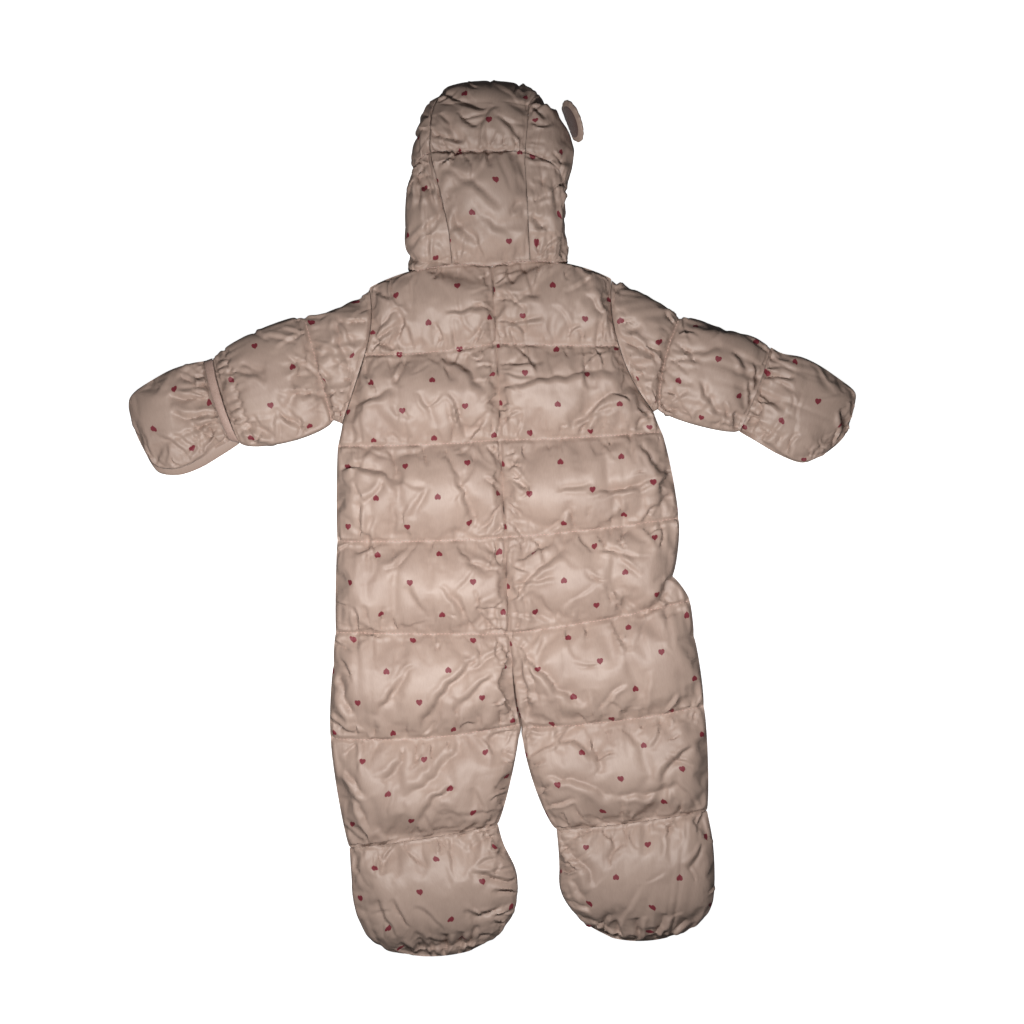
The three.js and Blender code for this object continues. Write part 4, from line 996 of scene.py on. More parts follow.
@dataclass(frozen=True)
class PrintedSatin:
    """Light taupe-rose satin with a small heart print."""

    ground: tuple[float, float, float] = linear(171, 149, 137)
    deep: tuple[float, float, float] = linear(156, 134, 123)
    heart: tuple[float, float, float] = linear(112, 14, 38)
    repeat: float = 57.0
    heart_size: float = 2.5
    yarn: float = 0.42

    def heart_mask(self, dye: Dye, x: Wire, y: Wire, shift: float, turn: float) -> Wire:
        """A heart in each repeat of the print.

        Args:
            dye: The finish.
            x: Millimetres across the cloth.
            y: Millimetres along it.
            shift: Share of the repeat by which the hearts are moved both ways.
            turn: 1 for upright hearts and -1 for inverted ones.

        Returns:
            1 inside a heart, 0 outside.
        """
        def cell(value: Wire) -> Wire:
            part = dye.maths("FRACT", value / self.repeat + (0.5 + shift + 50)) - 0.5
            return part * (self.repeat / self.heart_size)

        hx = cell(x)
        hy = cell(y) * turn
        body = hx * hx + hy * hy - 1.0
        lobes = body * body * body - hx * hx * hy * hy * hy
        return 1 - dye.smooth(lobes, -0.03, 0.05)

    def make(self) -> bpy.types.Material:
        """Makes the material."""
        dye = Dye("printed_satin")
        place = dye.node("Attribute", {"attribute_name": "cloth"}, {}, "Vector")
        split = dye.node("SeparateXYZ", {}, {0: place})
        x, y = split, Wire(dye, split.socket.node.outputs["Y"])
        hearts = dye.maths("MAXIMUM", self.heart_mask(dye, x, y, 0, 1), self.heart_mask(dye, x, y, 0.5, -1))
        cloudy = dye.noise(place, 0.02, 4, 0.55)
        stretched = dye.node("Mapping", {}, {"Vector": place, "Scale": (0.9, 0.16, 1)})
        streaks = dye.noise(stretched, 1.1, 2)
        shade = dye.smooth(cloudy, 0.3, 0.7) * 0.5 + dye.smooth(streaks, 0.35, 0.7) * 0.25
        color = dye.blend(shade, self.ground, self.deep)
        color = dye.blend(hearts * 0.94, color, self.heart)
        fine = dye.noise(dye.node("Mapping", {}, {"Vector": place, "Scale": (0.5, 0.16, 1)}), 0.6, 2, 0.5)
        weft = dye.maths("SINE", y * (2 * math.pi / self.yarn))
        warp = dye.maths("SINE", x * (2 * math.pi / (self.yarn * 1.6)) + y * (2 * math.pi / self.yarn / 2))
        normal = dye.bump(fine, 0.2, 0.0009)
        normal = dye.bump(weft + warp * 0.6, 0.08, 0.0001, normal)
        rough = 0.43 + dye.smooth(cloudy, 0.3, 0.7) * 0.05 + hearts * 0.12
        return dye.surface(
            Base_Color=color, Roughness=rough, Normal=normal, Specular_IOR_Level=0.42,
            Sheen_Weight=0.1, Sheen_Roughness=0.4, Sheen_Tint=(0.92, 0.85, 0.8, 1),
        )


@dataclass(frozen=True)
class Gather:
    """Pleats that fan out from a gathered line of the plan."""

    x0: float
    y0: float
    x1: float
    y1: float
    puckers: Puckers
    fan: float = 0.006
    scallop: float = 0.0

    def depth_at(self, x: np.ndarray, y: np.ndarray, seed: int) -> np.ndarray:
        """How far the pleats lower the points at x and y."""
        dx, dy = self.x1 - self.x0, self.y1 - self.y0
        size = math.hypot(dx, dy)
        lengthwise = ((x - self.x0) * dx + (y - self.y0) * dy) / size
        away = ((y - self.y0) * dx - (x - self.x0) * dy) / size
        away = away + self.scallop * np.sin(2 * math.pi * lengthwise / self.puckers.spacing)
        middle = size / 2
        lengthwise = middle + (lengthwise - middle) / (1 + self.fan * np.abs(away))
        return self.puckers.depth_at(lengthwise, away, seed)


@dataclass
class Body:
    """The back and the front of the body and legs."""

    step: float = 2.7
    front_step: float = 4.5
    slack: float = 0.72
    zip_top: tuple[float, float] = (2.0, 214.0)
    zip_end: tuple[float, float] = (14.4, -60.0)
    zip_half: float = 5.0
    zip_fade: float = 12.0
    zip_past: float = 20.0
    crotch: tuple[float, float] = (-120.0, -207.0)
    crotch_lap: float = 2.4
    centre_lap: float = 0.1
    left: CutPiece = field(default_factory=lambda: CutPiece(BACK_LEFT))
    right: CutPiece = field(default_factory=lambda: CutPiece(BACK_RIGHT))

    def centre_trim(self, side: int) -> Callable[[np.ndarray, np.ndarray, float], np.ndarray]:
        """What laps a panel's points over the centre seam, so that it lies closed."""
        def move(plan: np.ndarray, us: np.ndarray, v: float) -> np.ndarray:
            plan = plan.copy()
            lap = self.centre_lap * min(1.0, 2 * v) + SLACK * float(arch(v % 1))
            plan[:, 0] -= side * lap * (1 - us) ** 3
            return plan
        return move

    def zip_trim(self, side: int) -> Callable[[np.ndarray, np.ndarray, float], np.ndarray]:
        """What moves a front panel's points off the centre seam and off the zip."""
        tall = self.zip_top[1] - self.zip_end[1]
        lean = self.zip_end[0] - self.zip_top[0]

        def move(plan: np.ndarray, us: np.ndarray, v: float) -> np.ndarray:
            plan = self.centre_trim(side)(plan, us, v)
            y = plan[:, 1]
            down = np.clip((self.zip_top[1] - y) / tall, 0, 1)
            room = self.zip_half * np.clip((y - self.zip_end[1]) / self.zip_fade, 0, 1) + SLACK * arch(down)
            edge = self.zip_top[0] + (self.zip_top[1] - y) * lean / tall + side * room
            wanted = np.maximum(plan[:, 0], edge) if side > 0 else np.minimum(plan[:, 0], edge)
            near = np.where(y > self.zip_end[1] - self.zip_past, (1 - us) ** 2, 0)
            plan[:, 0] = mix(plan[:, 0], wanted, near)
            low = np.clip((self.crotch[0] - y) / (self.crotch[0] - self.crotch[1]), 0, 1)
            plan[:, 0] -= side * self.crotch_lap * np.sqrt(arch(low)) * (1 - us) ** 3
            return plan
        return move

    def front(self, rows: list[Row]) -> CutPiece:
        """The front panel under a back panel: the same outline with a lower neckline and no channels."""
        made = []
        for i, row in enumerate(rows):
            made.append(replace(
                row, fill=LOWER_FILL, seam=1 if row.seam else 0, end_a=0.1 if i <= 4 else row.end_a,
                bow=4 if i == 0 else row.bow,
            ))
        return CutPiece(made)

    def pads(self) -> list[Pad]:
        """The two halves of the back and of the front."""
        made = []
        for name, piece, side, origin in (
            ("back_left", self.left, -1, (-20.5, 23.4)), ("back_right", self.right, 1, (27.2, 53.1)),
        ):
            wall = layer_wall(
                name, piece, Side.UPPER, Grain(*origin, side), self.step, self.centre_trim(side), self.slack
            )
            made.append(Pad(
                wall, name, creases=CREASES[name], seams=seam_lines(piece), joins=[0.0, piece.along[-1]],
                edges=(0.0, -1.0), floor=UPPER_FLOOR,
            ))
        for name, rows, side in (("front_left", BACK_LEFT, -1), ("front_right", BACK_RIGHT, 1)):
            piece = self.front(rows)
            wall = layer_wall(name, piece, Side.LOWER, Grain(0, 20, side), self.front_step, self.zip_trim(side))
            made.append(Pad(wall, name, seams=seam_lines(piece), stuffing=None, fill=0.4, floor=0.0))
        return made

    def armhole(self, piece: CutPiece) -> Callable[[np.ndarray], np.ndarray]:
        """The armhole edge of a back panel, from the underarm to the shoulder, moved out by the gap."""
        out = -1 if piece.rows[1].bx < 0 else 1
        edge = np.array([1.0])

        def line(us: np.ndarray) -> np.ndarray:
            places = []
            for u in us:
                v = UNDERARM_ROW * (1 - u)
                ahead = piece.plan(edge, min(v + 0.05, UNDERARM_ROW))[0]
                chord = ahead - piece.plan(edge, max(v - 0.05, 0))[0]
                normal = np.array([chord[1], -chord[0]]) / np.linalg.norm(chord)
                if normal[0] * out < 0:
                    normal = -normal
                places.append(piece.plan(edge, v)[0] + normal * ARMHOLE_GAP)
            return np.array(places)
        return line


def seam_trim(piece: CutPiece, start: float, end: float) -> Callable[[np.ndarray, np.ndarray, float], np.ndarray]:
    """What moves the first and the last row of a piece in from the seam with a neighbour."""
    def move(plan: np.ndarray, us: np.ndarray, v: float) -> np.ndarray:
        for at, inside, gap in ((0, 0.1, start), (piece.last, piece.last - 0.1, end)):
            if gap and v == at:
                way = piece.plan(us, inside) - piece.plan(us, at)
                plan = plan + way / np.linalg.norm(way, axis=1, keepdims=True) * gap
        return plan
    return move


@dataclass
class Sleeve:
    """A sleeve, one piece folded along its upper edge, with a flat slit inside."""

    name: str
    piece: CutPiece
    grain: Grain
    gathers: Sequence[Gather]
    step: float = 3.0
    slack: float = 0.75
    slit: float = 0.95
    lower_share: float = LOWER_FILL / 15

    def pads(self) -> list[Pad]:
        """The one pad of the sleeve."""
        piece = self.piece
        ends = piece.row_point(1, np.array([0.0, 1.0]))
        half = stations(round(np.linalg.norm(ends[1] - ends[0]) / self.step), 0.5)
        us = np.concatenate([half, half[-2::-1]])
        side = np.concatenate([np.ones(len(half)), -np.ones(len(half) - 1)])
        apex = (us < 1).astype(float)
        vs, sewn = piece.stations_along(self.step)
        trim = seam_trim(piece, 0, SEAM_GAP / 2)
        outer, inner = [], []
        for v in vs:
            point = trim(piece.plan(us, v), us, v)
            slit = trim(piece.plan(us * self.slit, v), us, v)
            edge = EDGE_WALL * np.sqrt(1 - us * us)
            stuffed = piece.height(us, v) * np.where(side > 0, self.slack, self.lower_share)
            height = np.where(side > 0, edge + stuffed, np.minimum(LAYER_HEIGHT, edge + stuffed))
            z = LAYER_HEIGHT + side * apex * (SEAM_GAP / 2 + height)
            outer.append(np.column_stack([point, np.maximum(0, z)]))
            inner.append(np.column_stack([slit, LAYER_HEIGHT + side * apex * SEAM_GAP / 2]))
        outer, inner = np.array(outer), np.array(inner)
        across = lengths(outer, 1)
        along = np.repeat(np.array([piece.along_at(v) for v in vs])[:, None], len(us), 1)
        loose = np.ones(across.shape)
        loose[np.array(sewn)] = 0
        loose[:, [0, -1]] = 0
        cloth = in_cloth(outer, self.grain)
        wall = closed_wall(self.name, outer, inner, across, along, loose, cloth, flat=False)
        seams = seam_lines(piece)
        return [Pad(
            wall, self.name, creases=CREASES[self.name], seams=seams, joins=[0.0], gathers=self.gathers,
            edges=(0.0, -1.0), floor=0.0,
        )]


@dataclass
class Ends:
    """A hand cover or a bootie: a padded upper side over a lower side that rests."""

    upper_name: str
    lower_name: str
    upper: CutPiece
    lower: CutPiece
    grain: Grain
    gathers: Sequence[Gather]
    step: float = 2.6
    slack: float = 0.8

    def pads(self) -> list[Pad]:
        """The pads of the upper and of the lower side."""
        top = layer_wall(
            self.upper_name, self.upper, Side.UPPER, self.grain, self.step,
            seam_trim(self.upper, SEAM_GAP / 2, 0), self.slack,
        )
        sole = layer_wall(
            self.lower_name, self.lower, Side.LOWER, self.grain, self.step * 1.5,
            seam_trim(self.lower, SEAM_GAP / 2, 0),
        )
        return [
            Pad(
                top, self.upper_name, creases=CREASES[self.upper_name], joins=[0.0], gathers=self.gathers,
                floor=UPPER_FLOOR,
            ),
            Pad(sole, self.lower_name, gathers=self.gathers, stuffing=None, fill=0.4, floor=0.0),
        ]


@dataclass
class Hood:
    """The three padded panels of the hood."""

    body: Body
    wall: float = 9.0
    lip: float = 5.0
    puff: float = 6.0
    crown_reach: float = 11.0
    neck_lap: float = 1.6
    power: float = 0.8
    quilt_row: float = 3.6
    lower: int = 30
    upper: int = 22
    across: int = 44
    slack: float = 0.6

    def neck(self, x: np.ndarray) -> np.ndarray:
        """Y of the neck seam at each x."""
        made = []
        for value in x:
            piece = self.body.left if value < 0 else self.body.right
            u = min(1.0, max(0.0, value / piece.rows[0].bx))
            made.append(piece.row_point(0, np.array([u]))[0, 1])
        return np.array(made)

    def section(self, row: HoodRow, s: np.ndarray, depth: np.ndarray | float) -> np.ndarray:
        """Points of a section: s runs from the seam (0) over the rim (0.5) to the lip (1)."""
        seam, rim, lip = (np.array(p, dtype=float) for p in (row.seam, row.rim, row.lip))
        end = np.where((s <= 0.5)[:, None], seam, lip)
        centre = end.copy()
        centre[:, 2] = rim[2]
        to_rim, to_end = rim - centre, end - centre
        angle = np.pi * s

        def share(axis: np.ndarray) -> np.ndarray:
            return np.maximum(0.05, 1 - depth / np.linalg.norm(axis, axis=1))

        sine = share(to_rim) * np.abs(np.sin(angle)) ** self.power
        cosine_part = share(to_end) * np.abs(np.cos(angle)) ** self.power
        return centre + to_rim * sine[:, None] + to_end * cosine_part[:, None]

    def points(self, rows: list[HoodRow], s: np.ndarray, v: np.ndarray, depth: np.ndarray | float) -> np.ndarray:
        """Points of the hood at s around and v along, depth inside its outer face."""
        made = np.zeros((len(s), 3))
        step = np.minimum(v.astype(int), len(rows) - 2)
        for i in range(len(rows) - 1):
            here = step == i
            if here.any():
                deep = depth[here] if isinstance(depth, np.ndarray) else depth
                ends = [self.section(rows[k], s[here], deep) for k in (i, i + 1)]
                made[here] = mix(ends[0], ends[1], (v[here] - i)[:, None])
        low = v == 0
        made[low, 1] = self.neck(made[low, 0]) - self.neck_lap
        return made

    def station(self, k: int, s: np.ndarray, drop: float) -> tuple[np.ndarray, float]:
        """Station k along the hood, which follows the quilting seam, and its share of the channel."""
        seam_row = self.quilt_row - drop * np.minimum(1, s / 0.5)
        below = k <= self.lower
        t = k / self.lower if below else (k - self.lower) / self.upper
        share = mix(t, float(cosine(t)), 0.6)
        last = len(HOOD_LEFT) - 1
        return (seam_row * share if below else mix(seam_row, last, share)), t

    def wall_at(self, s: np.ndarray) -> np.ndarray:
        """Thickness of the wall at s."""
        return mix(self.wall, self.lip, s**2)

    def side_pad(self, name: str, rows: list[HoodRow], drop: float, grain: tuple[float, float]) -> Pad:
        """The pad of one side panel."""
        s = stations(self.across, 0.3)
        side = np.sign(rows[0].rim[0])
        outer, inner = [], []
        for k in range(self.lower + self.upper + 1):
            v, t = self.station(k, s, drop)
            point = self.points(rows, s, v, 0.0)
            inside = self.points(rows, s, v, self.wall_at(s))
            out = point - self.points(rows, s, v, 3.0)
            out /= np.maximum(1e-6, np.linalg.norm(out, axis=1, keepdims=True))
            swell = np.sqrt(np.clip(np.sin(np.pi * np.minimum(1, s * 1.15)), 0, 1))
            puff = self.slack * self.puff * math.sqrt(arch(t)) * swell
            out[:, 2] = np.maximum(0, out[:, 2])
            point = point + out * (0.5 * puff)[:, None]
            for grid in (point, inside):
                grid[:, 0] += side * (SEAM_GAP / 2) * (1 - s)
            floor = np.array([max(0.0, rows[int(value)].lip[2]) for value in v])
            point[:, 2] = np.maximum(floor, point[:, 2])
            outer.append(point)
            inner.append(inside)
        return self.finish_pad(name, np.array(outer), np.array(inner), int(side), grain, [self.lower])

    def centre_pad(self) -> Pad:
        """The pad of the centre panel, which runs over the crown to the forehead edge."""
        us = stations(32, 0.3)
        last = len(HOOD_LEFT) - 1
        outer, inner = [], []

        def add(ends: list[np.ndarray], inside: list[np.ndarray], puff: float, out: np.ndarray) -> None:
            shift = np.zeros((len(us), 3))
            shift[:, 0] = (1 - 2 * us) * SEAM_GAP
            bulge = (puff * arch(us) ** 0.6)[:, None] * out
            outer.append(mix(ends[0], ends[1], us[:, None]) + bulge + shift)
            inner.append(mix(inside[0], inside[1], us[:, None]) + 0.8 * bulge + shift)

        zero = np.array([0.0])
        for k in range(self.lower + self.upper + 1):
            v, t = self.station(k, zero, 0)
            ends = [self.points(rows, zero, v, 0.0)[0] for rows in (HOOD_LEFT, HOOD_RIGHT)]
            inside = [self.points(rows, zero, v, self.wall)[0] for rows in (HOOD_LEFT, HOOD_RIGHT)]
            base = 3 * min(1.0, v[0] / 2)
            share = math.sqrt(arch(min(t, 0.5) if k > self.lower else t))
            add(ends, inside, base + self.slack * self.puff * share, np.array([0.0, 0.0, 1.0]))
        top = np.array([float(last)])
        for share in stations(34, 0.2)[1:]:
            s = np.array([share])
            ends = [self.points(rows, s, top, 0.0)[0] for rows in (HOOD_LEFT, HOOD_RIGHT)]
            inside = [self.points(rows, s, top, self.wall_at(s))[0] for rows in (HOOD_LEFT, HOOD_RIGHT)]
            angle = math.pi * share
            crown = 3 + self.slack * self.puff
            reach = mix(crown, self.crown_reach, math.sin(angle)) * min(1.0, (1 - share) * 4)
            out = np.array([0.0, math.sin(angle), max(0.0, math.cos(angle))])
            add(ends, inside, reach, out / np.linalg.norm(out))
        for grid in (outer, inner):
            grid[0][:, 1] = self.neck(grid[0][:, 0]) - self.neck_lap
        return self.finish_pad(
            "hood_centre", np.array(outer), np.array(inner), 1, (-55.2, 219.5), [self.lower]
        )

    def finish_pad(
        self, name: str, outer: np.ndarray, inner: np.ndarray, side: int, grain: tuple[float, float],
        quilted: list[int],
    ) -> Pad:
        """Closes a panel of the hood into a pad, held at its edges and at its quilting rows."""
        across = lengths(outer, 1)
        along = np.repeat(lengths(outer, 0).mean(axis=1, keepdims=True), outer.shape[1], 1)
        loose = np.ones(across.shape)
        loose[[0, -1, *quilted]] = 0
        loose[:, [0, -1]] = 0
        cloth = in_cloth(outer[::-1], Grain(*grain, side))[::-1]
        wall = closed_wall(name, outer, inner, across, along, loose, cloth, flat=False)
        seams = [float(along[k, 0]) for k in (0, *quilted)]
        return Pad(
            wall, name, seams=seams, creases=CREASES[name], edges=(0.0, -1.0), floor=0.0,
            stuffing=Stuffing(cap=6.0, spare=0.045),
        )

    def pads(self) -> list[Pad]:
        """The pads of the three panels."""
        return [
            self.centre_pad(),
            self.side_pad("hood_left", HOOD_LEFT, 0.9, (-42.4, 216.4)),
            self.side_pad("hood_right", HOOD_RIGHT, 1.5, (50.0, 205.0)),
        ]


UNDERARM_ROW = 2
ARMHOLE_GAP = 0.5
CREASES = {name: [Crease(*row) for row in rows] for name, rows in {
    "back_left": (
        (-113.1, 176.2, -87.4, 200, 7, 3.2), (-43.7, 197.1, -4.8, 201.9, 6, 2.6), (-43.7, 155.3, -4.8, 121.1, 10, 5.0, 4),
        (-69.4, 121.1, -50.4, 86.9, 6, 3.2), (-39, 121.1, -22.8, 77.4, 6, 3.8), (-142.5, 50, -85.5, 31.8, 9, 4.8, 9),
        (-45.6, 66, -25.7, 35.6, 6, 3.4), (-4.8, 72.7, 7.6, 54.6, 5, 2.6), (-34.2, 43.2, -11.4, -8.1, 8, 4.0),
        (-8.6, -16.6, 11.4, -43.2, 8, 4.5), (-8.6, -125.9, -66.5, -199, 8, 4.8, -5),
        (-74.1, -135.4, -110.2, -186.7, 7, 3.8), (-145.4, -144.9, -115, -205.7, 8, 4.8, -6),
        (-113, 219, -95, 208, 4, 2.8), (-113, 170, -90, 162, 6, 3.0), (-131, 110, -94, 128, 8, 3.4, -3),
        (-60, 70, -92, 60, 6, 2.4), (-100, 40, -128, 12, 7, 2.8, 3), (-60, 30, -78, 2, 6, 2.6), (-32, -20, 0, -52, 9, 3.4, -3),
        (-130, -30, -96, -22, 6, 2.4, 2), (-60, -92, -82, -62, 6, 2.2), (20.9, -121, 7.6, -155, 5, 5.0),
        (7.6, -155, 25.6, -190, 6, 5.5), (14, -119, -22, -142, 5, 3.0), (2, -146, -35, -182, 7, 3.4, -2),
        (-28.5, -205, -83.6, -262, 10, 4.4, 6), (-82, -216, -103, -246, 8, 4.2, 3), (-36, -250, -70, -288, 8, 3.6, -4),
        (-138, -236, -120, -262, 6, 3.8), (-131, -262, -112, -296, 6, 3.2), (-47, -60, -22, -96, 6, 2.6),
    ),
    "back_right": (
        (76, 86.9, 134, 127.8, 9, 5.2, 6), (9.5, 125.9, 124.5, 143.9, 9, 3.4, 3), (14.3, 38.5, 34.2, 31.8, 5, 3.0),
        (14.3, 49.9, 26, 60, 5, 3.0), (90.3, 27.1, 158.7, 40.4, 7, 3.4, -3), (140.6, 72.7, 166.3, 43.2, 8, 4.4),
        (18, -77.4, 69.4, -26.1, 7, 4.0, 5), (100.7, -26.1, 136.8, -33.7, 6, 3.2), (171, -52.7, 158.7, -77.4, 8, 5.5),
        (27.6, -118.3, 88.4, -174.3, 9, 5.6, -5), (30.4, -125.9, 42.8, -174.3, 6, 3.8), (84, 80, 113, 109, 6, 3.6, 4),
        (138, 107, 152, 98, 5, 3.6), (62, 28, 95, 36, 6, 2.4), (168, 50, 160, 20, 8, 4.2), (171, 24, 150, 6, 7, 3.6),
        (21, -38, 60, -17, 6, 3.0), (20, 205, 46, 213, 7, 2.8, 3), (106, 195, 88, 214, 7, 3.0), (26, -130, 36, -190, 7, 5.4, -3),
        (64, -206, 100, -222, 9, 4.0, 4), (52, -240, 118, -262, 9, 4.4, 4), (188, -212, 158, -248, 7, 4.2, -3),
        (118, -258, 176, -250, 8, 3.6, -4), (106, -60, 148, -92, 6, 2.6), (96, -215, 100, -238, 5, 3.0, 3),
    ),
    "sleeve_left": (
        (-257, 139, -212, 134, 6, 3.4, 3), (-176.7, 150.1, -186, 126, 6, 3.2), (-204.8, 104.4, -180.2, 88.6, 5, 2.8),
        (-148.6, 199.3, -131, 135, 8, 4.4, -3), (-145, 193, -128, 163, 5, 3.0), (-240, 84, -205, 78, 7, 4.2, 4),
        (-238, 147, -214, 141, 7, 3.2), (-172, 128, -196, 108, 6, 2.6),
    ),
    "sleeve_right": (
        (168, 161.4, 217, 164, 6, 3.0, -3), (124, 177, 143, 183, 6, 2.8), (125.8, 159.6, 157.4, 152.6, 7, 3.2, 3),
        (227.7, 159.6, 243, 140, 6, 3.2, 2), (196, 131.6, 206.6, 106.9, 6, 3.0), (205, 118, 214, 100, 5, 2.4),
        (242.6, 131.6, 247, 104, 4, 3.8), (248.7, 149, 252.2, 124.5, 4, 3.8), (229.4, 103, 233, 86, 6, 4.6),
    ),
    "mitten_flap_left": (
        (-267.7, 114.2, -305.5, 117.6, 6, 4.6), (-278.4, 126.8, -297, 138, 6, 4.6, -2), (-262.9, 102.5, -301.6, 99.7, 7, 4.8, 3),
        (-255.1, 89, -272, 81, 5, 3.8), (-276.5, 134.5, -296, 144, 5, 3.2), (-258, 94, -281, 88, 6, 4.0), (-268, 119, -284, 122, 4, 3.2),
    ),
    "mitten_flap_right": (
        (254.5, 137.8, 287, 135, 5, 4.0), (248, 115.1, 277, 106.9, 5, 4.2), (257, 110, 245, 88, 6, 4.2, -4),
        (328.4, 104.2, 338, 89, 7, 4.6), (340, 113, 344, 100, 5, 3.2), (250.8, 80.5, 268, 82, 5, 2.4, -2), (256, 146, 272, 146, 4, 2.6),
    ),
    "bootie_top_left": (
        (-44.7, -413, -42, -390, 5, 4.4), (-31, -411, -26, -388, 5, 4.0), (-22, -408, -14, -382, 5, 3.2),
        (-59, -413, -68, -394, 5, 3.2), (-74, -412, -86, -398, 5, 2.6), (-8, -372, 20, -362, 8, 2.4), (-107.6, -315.9, -101.6, -332, 5, 2.8),
    ),
    "bootie_top_right": (
        (139.6, -397, 136, -374, 6, 4.6), (156, -395, 163, -370, 6, 4.0), (124, -394, 115, -378, 5, 3.4), (172, -392, 184, -376, 5, 2.8),
        (66, -308, 98, -342, 9, 4.2, 3), (74, -338, 92, -366, 7, 2.8), (200, -306, 185, -328, 6, 3.0),
    ),
    "hood_centre": (
        (-44, 328, 10, 292, 8, 2.8, 3), (-37, 288, -14, 258, 9, 4.6, -2), (-30.8, 348, -38, 331, 4, 3.4), (-6, 348, -1.7, 329, 4, 3.2),
        (-48, 380, -33, 352, 7, 3.8, 3), (6, 378, 29, 357, 6, 3.4), (-30, 381, -16, 366, 8, 2.8), (17, 287, 28, 297, 5, 3.0),
        (-22, 290, 22, 262, 9, 2.0, 3),
    ),
    "hood_left": (
        (-73, 325, -46, 278, 8, 4.0, 3), (-53, 322, -45, 286, 5, 3.8), (-77, 247, -38, 246, 7, 3.8, -6), (-64, 300, -58, 270, 6, 2.4),
    ),
    "hood_right": (
        (37, 285, 49, 274, 6, 3.8), (36, 391, 60, 388, 7, 5.0, 5), (38, 388, 51, 376, 4, 3.2), (56, 320, 62, 282, 7, 2.4, 2),
    ),
}.items()}


class Ear:
    """A padded round ear, cut off along the line where it is sewn on."""

    def __init__(self, name: str, thick: float, middle: Vector, flat_x: Vector, flat_y: Vector) -> None:
        """Sets the ear's node and thickness, its middle, and its two directions in its own plane."""
        self.name = name
        self.thick = thick
        self.middle = np.array(middle)
        self.flat_x = np.array(flat_x.normalized())
        self.flat_y = np.array(flat_y.normalized())
        self.radius = 20.5
        self.cut = 13.6
        self.unprinted = 28.5

    @classmethod
    def standing(cls) -> "Ear":
        """The right ear, which stands out from the rim of the hood."""
        seat, out = Vector((72.5, 375, 27)), Vector((0.28, 0.04, 0.96)).normalized()
        along = Vector((-0.38, 0.92, 0))
        along -= out * along.dot(out)
        return cls("ear_right", 5.5, seat + out * (20.5 * 0.62), along, out)

    @classmethod
    def tucked(cls) -> "Ear":
        """The left ear, which lies under the hood."""
        turn = 0.6
        across = Vector((math.cos(turn), math.sin(turn), 0))
        up = Vector((-math.sin(turn), math.cos(turn), 0))
        return cls("ear_left", 7.0, Vector((-46, 377, 3.7)), across, up)

    def build(self, cloth: bpy.types.Material, inside: bpy.types.Material) -> bpy.types.Object:
        """Builds the ear.

        Args:
            cloth: The material of its outer side and rim.
            inside: The material of its inner panel, a dark sheet of painted shade over the satin's shaded face.

        Returns:
            The ear.
        """
        middle, flat_x, flat_y = self.middle, self.flat_x, self.flat_y
        facing = np.cross(flat_x, flat_y)
        turns, rings = 96, 14
        angles = np.linspace(0, 2 * math.pi, turns, endpoint=False)
        low = np.minimum(-1e-6, np.sin(angles))
        reach = np.where(np.sin(angles) < 0, np.minimum(self.radius, -self.cut / low), self.radius)
        points, faces = [], []
        shares = np.sin(np.linspace(0, math.pi / 2, rings + 1))[1:]
        for sign in (1, -1):
            start = len(points)
            points.append(middle + facing * sign * self.thick * 0.5)
            for share in shares:
                for angle, far in zip(angles, reach):
                    pucker = 0.5 * math.cos(angle * 17 + 2 * math.sin(3 * angle)) * share**6
                    dome = self.thick * 0.5 * max(0.0, 1 - share**3.2) ** 0.6 + 0.35 * (share < 1)
                    dish = 1.3 * math.exp(-((share - 0.74) / 0.06) ** 2) if sign > 0 else 0
                    radial = share * (far + 0.4 * pucker)
                    points.append(
                        middle + (flat_x * math.cos(angle) + flat_y * math.sin(angle)) * radial
                        + facing * sign * max(0.0, dome - dish + 0.5 * pucker * (share < 1))
                    )
            for n in range(turns):
                after = (n + 1) % turns
                faces.append((start, start + 1 + n, start + 1 + after)[::sign])
                for r in range(rings - 1):
                    low, high = start + 1 + r * turns, start + 1 + (r + 1) * turns
                    faces.append((low + n, high + n, high + after, low + after)[::sign])
        mesh = bpy.data.meshes.new(self.name)
        mesh.from_pydata((np.array(points) * MM).tolist(), [], faces)
        piece = bpy.data.objects.new(self.name + "_dressed", mesh)
        bpy.context.scene.collection.objects.link(piece)
        weld = piece.modifiers.new("Rim", "WELD")
        weld.merge_threshold = 0.05 * MM
        dense(piece)
        piece.data.materials.append(cloth)
        piece.data.materials.append(inside)
        centre = middle * MM
        for polygon in piece.data.polygons:
            polygon.use_smooth = True
            spot = np.array(polygon.center) - centre
            side = spot @ facing
            # The inner face inside the rim gets the dark painted-shade material in place of the satin.
            if side * np.sign(facing[2] - facing[0]) > 0 and np.linalg.norm(spot) < 0.74 * self.radius * MM:
                polygon.material_index = 1
        spots = np.array([v.co for v in piece.data.vertices]) / MM
        spots = spots - self.middle
        spots = np.column_stack([spots @ flat_x + self.unprinted, spots @ flat_y, 0 * spots[:, 0]]).astype(np.float32)
        piece.data.attributes.new("cloth", "FLOAT_VECTOR", "POINT").data.foreach_set("vector", spots.ravel())
        return piece


@dataclass(frozen=True)
class EarShadePanel:
    """Painted shade: the dark sheet on the inner face of the ears, where the ears' own satin lies in shade."""

    base: tuple[float, float, float] = linear(70, 48, 45)
    lighter_shade: tuple[float, float, float] = linear(96, 70, 64)

    def make(self) -> bpy.types.Material:
        """Makes the material."""
        dye = Dye("ear_velour")
        place = dye.node("Attribute", {"attribute_name": "cloth"}, {}, "Vector")
        shade_mottle = dye.noise(place, 2.4, 3, 0.7)
        # A dark painted-shade colour, mottled by noise; the same noise gives the bump.
        color = dye.blend(dye.smooth(shade_mottle, 0.3, 0.7), self.base, self.lighter_shade)
        return dye.surface(
            Base_Color=color, Roughness=0.85, Normal=dye.bump(shade_mottle, 0.4, 0.0004), Sheen_Weight=0.4,
            Sheen_Roughness=0.4,
        )


